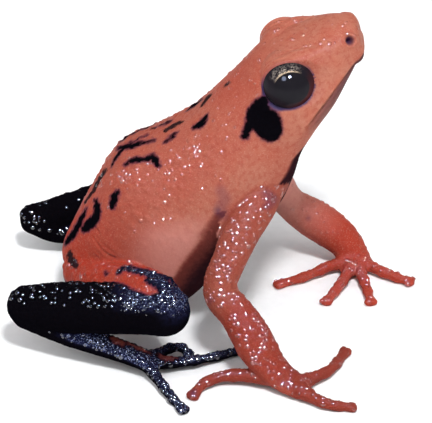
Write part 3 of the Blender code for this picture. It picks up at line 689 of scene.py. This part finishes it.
def build_skin():
    """The fused, relaxed and detailed skin, and the numbers its finish is mixed by."""
    surfaces = [body_surface()]
    for side in SIDES:
        centre, radii = LID_MOUND
        surfaces.append(ball_surface(on_side(centre, side), radii))
        surfaces.append(limb_surface(CANTHUS * (1, SIDES[side], 1, 1, 1)))
        surfaces += [limb_surface(limb[side]) for limb in LIMBS.values()]
        for digit in FINGERS[side] + TOES[side]:
            surfaces.append(limb_surface(digit_knots(*digit), around=24, step=0.12))
    mesh = fuse(surfaces)
    points, edges = read_mesh(mesh)

    joints = [(on_side((15.6, 5.6, 17.8), "right"), 2.5), ((15.4, 5.4, 15.8), 2.8)]
    for side in SIDES:
        arm, thigh, shank, tarsus = (limb[side][:, :3] for limb in LIMBS.values())
        joints += [(thigh[0] * 0.35 + thigh[1] * 0.65, 3.2), (thigh[3], 2.6), (shank[4], 2.2)]
        joints += [(arm[-2], 2.6), (tarsus[-1], 1.9), (on_side((16.5, 5.2, 31.5), side), 2.5)]
    soft = most(*(1 - ease(0.5, 1.0, gap_to(centre, points) / spread) for centre, spread in joints))
    points = relaxed(points, edges, soft, 14, push_back=False)
    points = relaxed(points, edges, 1.0, 4)
    write_points(mesh, points)
    crown = np.linalg.norm((points - (18.8, 0, 32.2)) / (5.6, 6.6, 3.4), axis=1)
    points = fill_hollows(points, edges, read_normals(mesh), ease(1.0, 0.75, crown))
    write_points(mesh, points)

    fine = (np.abs(mouth_distance(points)[0]) < 0.75) & (points[:, 0] > 18.2) & (points[:, 2] > 23)
    for side in SIDES:
        centre, axis, _, _ = eye_frame(side)
        fine |= (gap_to(centre, points) < 4.0) & ((points - centre) @ axis > -0.9)
        fine |= gap_to(on_side(NOSTRIL, side), points) < 1.2
    refine(mesh, fine)
    points, edges = read_mesh(mesh)
    points = relaxed(points, edges, 1.0, 2)
    points = round_the_eyes(points)
    points = round_the_eyes(relaxed(points, edges, near_eyes(points), 4))
    write_points(mesh, points)
    points = points + read_normals(mesh) * head_depth(points)[:, None]
    write_points(mesh, points)
    finish = skin_finish(points, read_normals(mesh))
    points = points + read_normals(mesh) * finish.pop("raise")[:, None]
    points[:, 2] = np.maximum(points[:, 2], 0.0)
    write_points(mesh, points)
    return mesh, finish


def skin_finish(points, normals):
    """The numbers at each skin point: marks, tones, wet granules and how far to raise the skin.

    A mark is the millimetres inside its strokes. A tone or a wetness is a product of eases and
    bells of the place, the nearness of a limb and the way the skin faces, and the greatest of
    several such products counts. Some tones are painted light and shade: the dark underside is
    partly painted shade, the pink lift of the lower flank and far upper arm is painted light, the
    purple at the near arm's root and in the nostrils is painted shade, and the legs' blue is a
    painted sheen.
    """
    near, share = {}, {}
    for side in SIDES:
        for name, limb in LIMBS.items():
            near[name, side], share[name, side] = limb_nearness(points, limb[side])
        for name, digits in (("finger", FINGERS), ("toe", TOES)):
            gaps = [limb_nearness(points, digit_knots(*digit), 14)[0] for digit in digits[side]]
            near[name, side] = np.min(gaps, 0)

    def on(name, sides=SIDES, reach=0.5):
        return most(*(ease(reach, 0.1, near[name, side]) for side in sides))

    x, y, z = points.T
    up = normals[:, 2]
    black = most(stroke_field(points, BLACK_STROKES), stroke_field(points, BLACK_STROKES[:4], side=-1))
    black = most(black, stroke_field(points + (0.7, 0, 0.5), BLACK_STROKES[4:], side=-1))
    grey = stroke_field(points, GREY_STROKES)
    grey = most(grey, stroke_field(points + (0.5, 0, 0.3), GREY_STROKES[6:], side=-1))
    leg, band = np.full((2, len(points)), -9.0)
    for side in SIDES:
        thigh = 0.5 - near["thigh", side]
        shank = np.minimum(0.5 - near["shank", side], 1.5 * (near["thigh", side] - near["shank", side]))
        foot = 0.5 - np.minimum(near["tarsus", side], near["toe", side])
        knee = np.minimum(thigh, (share["thigh", side] - 0.985) * 10)
        below = np.minimum(thigh, (-0.2 - up) * 1.5)
        leg = most(leg, shank, foot, knee, below)
        band = most(band, np.minimum(stroke_field(points, KNEE_BAND, side=-SIDES[side]), 0.8))
    leg = most(np.minimum(leg, -stroke_field(points, ORANGE_STROKES)), band)
    on_leg = ease(-0.1, 0.3, leg)

    arm, thigh, finger, head = on("arm"), on("thigh"), on("finger"), ease(22.0, 26.0, z)
    near_arm, far_arm = on("arm", ["right"]), on("arm", ["left"])
    near_share, far_share = share["arm", "right"], share["arm", "left"]
    lower_arm = most(near_arm * ease(0.44, 0.56, near_share), far_arm * ease(0.30, 0.55, far_share), finger)
    far_upper_arm = far_arm * ease(0.68, 0.25, far_share)
    near_hand = most(near_arm * ease(0.75, 0.92, near_share), on("finger", ["right"]))
    limbs = most(arm, thigh, finger, on_leg)
    height = section_height(points)
    rump = hill(gap_to((-2.5, 0, 8.5), points, (1, 0.6, 1)), 7.2)
    deep = np.clip(most(rump, thigh, lower_arm * 0.85, arm * 0.4), 0, 1)
    dusk = most(0.5 * near_arm, 0.65 * near_hand, 0.15 * on("thigh", ["right"]))
    dusk = most(dusk, 0.12 * (1 - limbs) * ease(23.0, 18.0, z) * (1 - rump))
    flank = ease(0.75, 0.1, height) * ease(6.0, 10.0, z)
    cheek = hill(gap_to((20.0, 0, 27.0), points, (1, 0, 1)), 5.0)
    lores = hill(gap_to((23.5, 0, 31.5), points, (1, 0, 1)), 3.5) * ease(0.9, 0.3, height)
    # On the far upper arm, the paler tone and the lack of deep tone are painted light that lifts the arm out
    # of the body's shade.
    pale = most(0.6 * flank, 0.9 * cheek, 0.8 * lores, 0.45 * head, far_upper_arm)
    pale *= (1 - lower_arm) * (1 - thigh) * (1 - rump)
    nape = hill(gap_to((13.5, 0, 27.5), points, (1, 0.7, 1)), 4.5)
    pale, deep = pale * (1 - 0.7 * nape), most(deep * (1 - far_upper_arm), 0.45 * nape)

    signed, mouth_share = mouth_distance(points)
    below_mouth = ease(0.03, -0.12, signed) * ease(18.6, 19.8, x) * ease(21.5, 23.5, z)
    downward, across = normals @ np.array(BELLYWARD), np.abs(y)
    facing = downward - np.interp(z, *BELLY_SHADE_LINE)
    throat = most(ease(0.84, 0.95, downward), ease(0.66, 0.80, downward) * ease(4.6, 3.0, across))
    throat *= ease(17.5, 20.0, z) * ease(26.2, 24.8, x) * (1 - limbs)
    trunk = ease(0.4, 0.0, across - np.interp(z, *TRUNK_WIDTH))
    off_limbs = 1 - most(*(on(name, reach=0.25) for name in ("arm", "thigh", "finger")), on_leg)
    # Painted shade: skin facing the belly is darkened, partly the belly's own dark and partly shade under the
    # body and between the belly and the near arm.
    belly_dark_and_shade = 0.6 * ease(-0.05, 0.05, facing) + 0.4 * ease(0.0, np.interp(z, *BELLY_SHADE_BLUR), facing)
    belly_dark_and_shade *= off_limbs * trunk
    belly_dark_and_shade = most(belly_dark_and_shade * (1 - head), 0.95 * throat)
    # Painted light: a pale pink tone on the lower flank, where the skin turns down into shade, and on the far
    # upper arm, which the body shades.
    painted_light = ease(-0.50, -0.10, facing) * ease(0.05, -0.04, facing) * (1 - limbs) * trunk * ease(17.0, 13.0, z)
    painted_light = most(0.55 * painted_light * ease(-3.0, 6.0, x), 0.6 * far_upper_arm)

    # Purple: painted shade at the near arm's root and in the nostrils, with small dark smudges.
    smudges_and_shade = most(*(ease(-0.45, 0.35, stroke_field(points, [row])) * tone for tone, row in SMUDGES_AND_ARM_SHADE))
    rim, rim_tone, lids = np.full(len(points), 2.0), 0.0, 0.0
    for side in SIDES:
        reach, angle, level, opening = eye_angles(points, side)
        off_axis = reach * np.sin(angle) - EYE_BALL * np.sin(opening)
        to_rim = np.hypot(off_axis, reach * np.cos(angle) - EYE_BALL * np.cos(opening))
        behind = ease(EYE_CENTRE[0] - 0.2, EYE_CENTRE[0] - 1.6, x) * ease(0.2, -0.4, level)
        rim = np.minimum(rim, np.where(reach < 4, to_rim / (1 + 1.5 * behind), 2.0))
        rim_tone = most(rim_tone, (0.2 + 0.8 * ease(0.75, 0.1, level)) * (reach < 4.6))
        lids = most(lids, ease(0.1, 0.6, level) * hill(angle - opening - 0.42, 0.16) * (reach < 4))
        # Painted shade in each nostril's pit, darkest along the nostril's axis.
        away, out = points - on_side(NOSTRIL, side), unit(on_side(NOSTRIL_AXIS, side))
        away -= 0.8 * (away @ out)[:, None] * out
        smudges_and_shade = most(smudges_and_shade, ease(0.60, 0.25, np.linalg.norm(away, axis=1)))

    lit = ease(-0.25, 0.35, up)
    back = ease(0.25, 0.6, height) * ease(28.5, 25.0, z) * ease(10.0, 15.0, z) * (1 - limbs)
    patches = most(*(stroke_field(points, WET_PATCHES, side=s, squeeze=1.0) for s in (1, -1)))
    wet = most(
        0.9 * arm * lit * near_arm,
        0.25 * arm * lit,
        0.8 * finger * ease(0.0, 0.5, up),
        0.8 * on_leg * ease(0.45, 0.75, up) * (0.45 + 0.55 * (y < 0)),
        most(on("tarsus"), on("toe")) * ease(-0.1, 0.3, up),
        0.45 * thigh * ease(0.1, 0.5, up),
        0.22 * back * ease(0.35, 0.6, cells(points, SPOT_CELL, 31)[1]),
        0.9 * ease(-0.25, 0.25, patches),
        0.7 * lids,
        0.16 * head * ease(0.3, 0.8, height) * ease(0.3, 0.6, rim),
    )
    wet *= 1 - ease(-0.2, 0.1, black)
    # The legs' upward-facing skin: the fine wet granules sit here, and a painted blue sheen is laid here.
    shank_blue = ease(-0.5, 2.5, x) * ease(0.3, 0.6, up)
    tarsus_blue = on("tarsus") * ease(-0.1, 0.3, up) * ease(-6.5, -4.0, x)
    knee_blue = 0.6 * ease(4.6, 7.0, x) * ease(-0.2, 0.6, up)
    dew = most(tarsus_blue, 0.8 * shank_blue, 0.7 * on("toe") * ease(0.0, 0.4, up))
    gap, pick, _ = cells(points, DOME_CELL, 7)
    dome = 1.25 * np.clip(1 - (gap / 0.62) ** 2, 0, 1) ** 1.4 * ease(0.1, 0.7, pick)
    gap, pick, _ = cells(points, FINE_DOME_CELL, 11)
    fine_dome = np.clip(1 - (gap / 0.7) ** 2, 0, 1) * (0.4 + 0.6 * pick)
    calm = (1 - 0.7 * head) * (1 - 0.7 * belly_dark_and_shade) * ease(0.1, 0.5, rim)
    coarse = 0.25 + 0.75 * most(limbs * lit * (1 - 0.5 * arm), back)
    finish = dict(deep=deep, pale=pale, belly_dark_and_shade=belly_dark_and_shade, dusk=dusk, painted_light=painted_light, rim=rim, rim_tone=rim_tone)
    return finish | {
        "wet": wet,
        "dark": np.clip(most(black, leg), -1.5, 1.5),
        "grey": np.clip(grey, -1.5, 1.5),
        "jaw": below_mouth * np.interp(mouth_share, *JAW_TONE),
        "smudges_and_shade": np.clip(smudges_and_shade, 0, 1),
        # Painted blue sheen on the legs' upward-facing skin.
        "blue": most(tarsus_blue, knee_blue, 0.55 * shank_blue) * on_leg,
        "granule": coarse,
        "dew": dew * on_leg,
        "raise": (DOME_HEIGHT * dome * coarse + FINE_DOME_HEIGHT * fine_dome) * calm,
    }


def granule_arrays(points, normals, wet, size, radii, seed):
    """Small domes on the wet parts of the skin, one at most in each random cell.

    A dome is the upper part of a ball of radius r, flattened along the normal, whose centre lies
    BEAD_DEPTH * r under the skin. Returns all domes' corners and faces, and the skin point that
    each corner is on.
    """
    gap, pick, name = cells(points, size, seed)
    order = np.lexsort((gap, name))
    first = order[np.concatenate([[True], np.diff(name[order]) != 0])]
    chosen = first[(gap[first] < 0.3) & (pick[first] < wet[first])]
    draw = cells(points[chosen], 0.23, 5)[1]
    radius = radii[0] + (radii[1] - radii[0]) * draw**2
    normal = normals[chosen]
    side = unit(np.cross(normal, (0.3, 0.9, 0.2)))
    other = np.cross(normal, side)
    rings = ball_grid(np.radians(BEAD_RINGS), BEAD_AROUND) * (1, 1, BEAD_FLATNESS)
    ball = np.vstack([rings.reshape(-1, 3), ((0, 0, -0.1), (0, 0, BEAD_FLATNESS))])
    quads, tips = grid_faces(len(BEAD_RINGS), BEAD_AROUND)
    spread = side[:, None] * ball[None, :, :1] + other[:, None] * ball[None, :, 1:2]
    spread = spread + normal[:, None] * (ball[None, :, 2:] - BEAD_DEPTH)
    corners = (points[chosen][:, None] + spread * radius[:, None, None]).reshape(-1, 3)
    base = (np.arange(len(chosen)) * len(ball))[:, None, None]
    return corners, (base + quads).reshape(-1, 4), (base + tips).reshape(-1, 3), np.repeat(chosen, len(ball))


def to_row(points):
    """Millimetres of the frog's own frame turned into metres of the row frame."""
    return (np.asarray(points) + ROW_SHIFT) * MM


eye_low, eye_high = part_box("eye_right")
ROW_SHIFT = np.array((eye_low + eye_high) / 2) / MM - on_side(EYE_CENTRE, "right")


# Finishes.


class Shader:
    """A new material, and short names for the nodes that its pattern is made of.

    What feeds a node's socket is a value set on the socket, or another node's output. A colour is
    given as red, green and blue.
    """

    def __init__(self, name):
        self.material = bpy.data.materials.new(name)
        self.material.use_nodes = True
        self.tree = self.material.node_tree
        self.tree.nodes.clear()
        self.place = self.node("TexCoord", {}).outputs["Object"]

    def node(self, kind, feeds, **settings):
        made = self.tree.nodes.new("ShaderNode" + kind)
        for name, value in settings.items():
            setattr(made, name, value)
        for name, value in feeds.items():
            socket = made.inputs[name]
            if isinstance(value, bpy.types.NodeSocket):
                self.tree.links.new(value, socket)
            else:
                socket.default_value = (*value, 1.0) if socket.type == "RGBA" else value
        return made

    def number(self, name):
        """The value of a piece's own named attribute."""
        return self.node("Attribute", {}, attribute_name=name).outputs["Fac"]

    def maths(self, operation, a, b, clamp=False):
        return self.node("Math", {0: a, 1: b}, operation=operation, use_clamp=clamp).outputs[0]

    def plus(self, a, b):
        return self.maths("ADD", a, b)

    def times(self, a, b):
        return self.maths("MULTIPLY", a, b)

    def step(self, value, low, high, bottom=0.0, top=1.0):
        """From bottom to top, smoothly, as the value goes from low to high."""
        feeds = {"Value": value, "From Min": low, "From Max": high, "To Min": bottom, "To Max": top}
        return self.node("MapRange", feeds, interpolation_type="SMOOTHSTEP").outputs["Result"]

    def noise(self, scale, detail=3.0, roughness=0.55):
        feeds = {"Vector": self.place, "Scale": scale, "Detail": detail, "Roughness": roughness}
        return self.node("TexNoise", feeds).outputs["Fac"]

    def layers(self, tone, *coats):
        """A tone with other colours laid over it one by one, each by its own share."""
        for share, colour in coats:
            tone = self.node("Mix", {0: share, 6: tone, 7: colour}, data_type="RGBA").outputs[2]
        return tone

    def bump(self, height, strength, depth):
        feeds = {"Strength": strength, "Distance": depth, "Height": height}
        return self.node("Bump", feeds).outputs["Normal"]

    def finished(self, feeds):
        """The material, with the surface made from its feeds."""
        surface = self.node("BsdfPrincipled", feeds).outputs[0]
        self.node("OutputMaterial", {"Surface": surface})
        return self.material


def skin_material(name, coat):
    """Moist granular skin: orange-red tones, ragged black marks and black legs, with painted light and shade:
    a painted blue sheen and glint specks on the legs, a pale pink lift on the lower flank and far upper arm, a
    dark underside that is partly painted shade, and painted shade at the arm's root and in the nostrils.
    """
    shader = Shader(name)
    number, step, plus, times = shader.number, shader.step, shader.plus, shader.times
    broad, middle = shader.noise(380.0), shader.noise(1900.0, 4.0)
    speck, ragged = shader.noise(6500.0, 2.0), shader.noise(2000.0, 2.5)
    wander = times(plus(ragged, -0.5), 0.55)
    # The dark underside: partly the belly's own dark, partly painted shade.
    under = plus(number("belly_dark_and_shade"), times(wander, 0.4))
    rim = times(step(number("rim"), 0.36, 0.10), number("rim_tone"))
    grey = step(plus(number("grey"), wander), -0.18, 0.10, 0.0, 0.97)
    dark_edge = plus(number("dark"), wander)
    dark = step(dark_edge, -0.17, 0.15)
    blue = number("blue")
    ink = shader.layers(
        (0.0024, 0.0020, 0.0032),
        # Painted blue sheen on the legs' upward-facing skin, and pale blue specks there that are painted
        # glints.
        (times(step(middle, 0.30, 0.70, 0.2, 0.8), blue), (0.018, 0.020, 0.066)),
        (times(step(speck, 0.54, 0.70), step(blue, 0.3, 1.0)), (0.30, 0.36, 0.62)),
    )
    tone = shader.layers(
        (0.338, 0.092, 0.062),
        (number("pale"), (0.425, 0.174, 0.116)),
        (number("deep"), (0.338, 0.030, 0.015)),
        (step(broad, 0.35, 0.7, 0.0, 0.4), (0.350, 0.062, 0.036)),
        (step(middle, 0.42, 0.72, 0.0, 0.5), (0.280, 0.045, 0.030)),
        (step(speck, 0.50, 0.8, 0.0, 0.45), (0.52, 0.25, 0.18)),
        (number("dusk"), (0.150, 0.030, 0.021)),
        # Painted light: this pink tone lifts the lower flank and the far upper arm out of their shade.
        (number("painted_light"), (0.62, 0.27, 0.23)),
        (number("jaw"), (0.105, 0.044, 0.048)),
        # Painted shade on the underside, with the belly's own dark: dark brown-red, then near black.
        (step(under, 0.10, 0.60, 0.0, 0.9), (0.15, 0.030, 0.024)),
        (step(under, 0.45, 0.95, 0.0, 0.95), (0.014, 0.006, 0.009)),
        # Purple: painted shade at the near arm's root and in the nostrils, with small dark smudges.
        (number("smudges_and_shade"), (0.060, 0.024, 0.060)),
        (rim, (0.042, 0.028, 0.080)),
        (grey, (0.014, 0.009, 0.011)),
        (step(dark_edge, -0.36, 0.02, 0.0, 0.75), (0.09, 0.022, 0.045)),
        (dark, ink),
    )
    dull = shader.maths("MAXIMUM", shader.maths("MAXIMUM", dark, grey), under, True)
    gloss = shader.node("Mix", {0: dull, 2: 0.02, 3: 0.0}, data_type="FLOAT").outputs[0]
    grain = shader.node("TexVoronoi", {"Vector": shader.place, "Scale": 3600.0}, feature="SMOOTH_F1")
    grain = shader.maths("SUBTRACT", 1.0, grain.outputs["Distance"])
    grain = times(grain, plus(number("granule"), 0.25))
    return shader.finished(
        {
            "Base Color": tone,
            "Roughness": step(middle, 0.3, 0.75, 0.40, 0.52),
            "Specular IOR Level": gloss,
            "Normal": shader.bump(plus(grain, times(speck, 0.4)), 0.5, 0.00007),
            "IOR": 1.4,
            "Subsurface Weight": 0.08,
            "Subsurface Radius": (1.0, 0.35, 0.2),
            "Subsurface Scale": 0.0004,
            "Coat Weight": coat,
            "Coat Roughness": 0.07,
            "Coat IOR": 1.8,
        }
    )


def eye_material():
    """A wet dark eye: black pupil, near-black iris and a golden crescent over the pupil."""
    shader = Shader("wet_dark_eye")
    step, plus, times = shader.step, shader.plus, shader.times
    flecks, threads = shader.noise(6000.0, 4.0, 0.75), shader.noise(11000.0, 2.0)
    cloud = step(shader.noise(2600.0, 2.0), 0.36, 0.62)
    edge, crescent = shader.number("pupil_edge"), shader.number("crescent")
    fleck = times(step(flecks, 0.40, 0.66), times(crescent, cloud))
    band = step(plus(edge, times(threads, 0.3)), 1.24, 1.13)
    tone = shader.layers(
        (0.013, 0.011, 0.015),
        (shader.number("warm_side"), (0.050, 0.012, 0.014)),
        (times(fleck, step(edge, 1.60, 1.12)), (0.52, 0.44, 0.38)),
        (times(band, crescent), (0.82, 0.62, 0.42)),
        (step(edge, 1.02, 0.98), (0.012, 0.011, 0.014)),
    )
    return shader.finished(
        {
            "Base Color": tone,
            "Roughness": step(flecks, 0.3, 0.7, 0.30, 0.42),
            "Specular IOR Level": 0.0,
            "Coat Weight": 0.25,
            "Coat Roughness": 0.02,
            "Coat IOR": 1.33,
        }
    )


def floor_material():
    """Pale matte board with a faint grain."""
    shader = Shader("pale_board")
    grain = shader.noise(900.0, 4.0)
    tone = shader.layers((0.90, 0.90, 0.90), (shader.step(grain, 0.3, 0.7), (0.93, 0.93, 0.93)))
    bump = shader.bump(grain, 0.1, 0.00002)
    return shader.finished(
        {"Base Color": tone, "Roughness": 0.85, "Normal": bump, "Specular IOR Level": 0.2}
    )


# Pieces.


def add_numbers(mesh, numbers):
    """Keeps named numbers at each vertex of a mesh."""
    for label, values in numbers.items():
        layer = mesh.attributes.new(label, "FLOAT", "POINT")
        layer.data.foreach_set("value", np.ascontiguousarray(values, dtype=np.float32))


def add_piece(name, mesh, material, replaced=()):
    """Puts a mesh in the scene as a piece of the body, in place of the solids it replaces."""
    mesh.shade_smooth()
    mesh.materials.clear()
    mesh.materials.append(material)
    piece = new_object(name, mesh)
    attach(piece, "root")
    if replaced:
        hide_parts(*replaced)


def make_skin():
    """The skin, and the wet granules on it, which take the skin's own tones where they sit."""
    mesh, finish = build_skin()
    points, _ = read_mesh(mesh)
    normals = read_normals(mesh)
    broad = granule_arrays(points, normals, finish.pop("wet"), GRANULE_CELL, GRANULE_RADIUS, 23)
    fine = granule_arrays(points, normals, finish.pop("dew"), FINE_CELL, FINE_RADIUS, 41)
    corners, owner = np.vstack([broad[0], fine[0]]), np.concatenate([broad[3], fine[3]])
    faces = broad[1].tolist() + broad[2].tolist()
    faces += (fine[1] + len(broad[0])).tolist() + (fine[2] + len(broad[0])).tolist()
    write_points(mesh, to_row(points))
    add_numbers(mesh, finish)
    mesh.calc_loop_triangles()
    mesh = with_modifier(mesh, "DECIMATE", ratio=min(1.0, MOST_TRIANGLES / len(mesh.loop_triangles)))
    mesh.name = "frog_skin"
    solids = sorted(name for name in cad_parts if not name.startswith("eye_"))
    add_piece("frog_skin", mesh, skin_material("moist_granular_skin", 0.0), solids)
    beads = new_mesh("wet_granules", to_row(corners), faces)
    add_numbers(beads, {name: values[owner] for name, values in finish.items()})
    add_piece("wet_granules", beads, skin_material("wet_granule_skin", 1.0))


def make_eyeball(side, material):
    """An eyeball on polar angle a from its axis and turn t: a sphere whose front bulges a little.

    The radius is EYE_BALL * (1 + CORNEA_BULGE * exp(-(a / 0.6)^2)). The pupil's edge is 1 on an
    ellipse round its centre, and the crescent lies above it in the opening of the lids.
    """
    centre, axis, forward, upward = eye_frame(side)
    angle = np.linspace(0, math.pi, 122)[1:-1, None]
    turn = np.linspace(0, 2 * math.pi, 160, endpoint=False)[None]
    radius = EYE_BALL * (1 + CORNEA_BULGE * hill(angle, 0.6))
    across, lift = np.sin(angle) * np.cos(turn), np.sin(angle) * np.sin(turn)
    out = np.cos(angle) * np.ones_like(turn)
    spread = out[..., None] * axis + across[..., None] * forward + lift[..., None] * upward
    poles = [centre + axis * radius[0, 0], centre - axis * EYE_BALL]
    points, quads, tips = closed_arrays((centre + radius[..., None] * spread, poles))
    mesh = new_mesh(f"eyeball_{side}", to_row(points), quads.tolist() + tips.tolist())

    x, y = (np.append(values.ravel(), (0, 0)) / math.sin(EYE_OPENING) for values in (across, lift))
    front = np.append(out.ravel(), (1, -1)) > 0
    edge = np.where(front, np.hypot((x - 0.09) / 0.68, (y - 0.02) / 0.62), 3.0)
    away = np.hypot(x, y) + 1e-6
    crescent = ease(0.55, 0.95, (x * -0.26 + y * 0.965) / away) * front * ease(1.0, 0.84, away)
    warm = ease(0.2, 0.9, x * 0.85 - y * 0.5) * front
    add_numbers(mesh, {"pupil_edge": edge, "crescent": crescent, "warm_side": warm})
    add_piece(f"eyeball_{side}", mesh, material, [f"eye_{side}"])


def make_floor():
    """A flat sheet on a grid of two parameters, just under the floor's height."""
    steps = np.linspace(-FLOOR_REACH, FLOOR_REACH, 9)
    across, along = np.meshgrid(steps, steps, indexing="ij")
    points = np.stack([across, along, np.full_like(across, -0.00001)], -1).reshape(-1, 3)
    i, j = np.meshgrid(np.arange(8), np.arange(8), indexing="ij")
    faces = np.stack([i * 9 + j, (i + 1) * 9 + j, (i + 1) * 9 + j + 1, i * 9 + j + 1], -1).reshape(-1, 4)
    mesh = new_mesh("floor", points, faces.tolist())
    mesh.materials.append(floor_material())
    new_object("floor", mesh)


def make_lamps():
    """Round lamps, aimed at the frog.

    A lamp with in_gloss shows in glossy skin and in the eyes. One without in_colour lights nothing
    else, and is bluish.
    """
    for name, azimuth, elevation, distance, size, power, in_gloss, in_colour in LAMPS:
        light = bpy.data.lights.new(name, "AREA")
        light.shape, light.size, light.energy = "DISK", size, power
        if not in_colour:
            light.color = GLINT_COLOUR
        lamp = new_object(name, light)
        turn, tilt = math.radians(azimuth), math.radians(elevation)
        out = np.array([math.sin(turn) * math.cos(tilt), -math.cos(turn) * math.cos(tilt), math.sin(tilt)])
        lamp.location = to_row(AIM) + out * distance
        lamp.rotation_euler = (math.pi / 2 - tilt, 0, turn)
        lamp.visible_glossy, lamp.visible_diffuse = in_gloss, in_colour


def make_stage():
    """Floor, lamps, an even pale surround that glossy skin doesn't show, and the photo's camera."""
    make_floor()
    make_lamps()
    world = bpy.data.worlds.new("studio")
    world.use_nodes = True
    surround = world.node_tree.nodes["Background"].inputs
    surround["Color"].default_value, surround["Strength"].default_value = (0.95, 0.97, 1.0, 1.0), 0.36
    world.cycles_visibility.glossy = False
    scene = bpy.context.scene
    scene.world = world
    scene.view_settings.view_transform = "Standard"

    lens = bpy.data.cameras.new("camera")
    lens.sensor_fit, lens.sensor_width = "HORIZONTAL", SENSOR
    lens.lens = PIXELS_PER_MM * STAND_OFF / PICTURE_WIDTH * SENSOR
    lens.clip_start, lens.clip_end = 0.01, 10.0
    scene.camera = new_object("camera", lens)
    scene.camera.location = to_row(np.array(AIM) - np.array(LOOK) * STAND_OFF)
    scene.camera.rotation_euler = (math.pi / 2 - LOOK_DOWN, 0, 0)


make_skin()
wet_eye = eye_material()
for eye_side in SIDES:
    make_eyeball(eye_side, wet_eye)
make_stage()
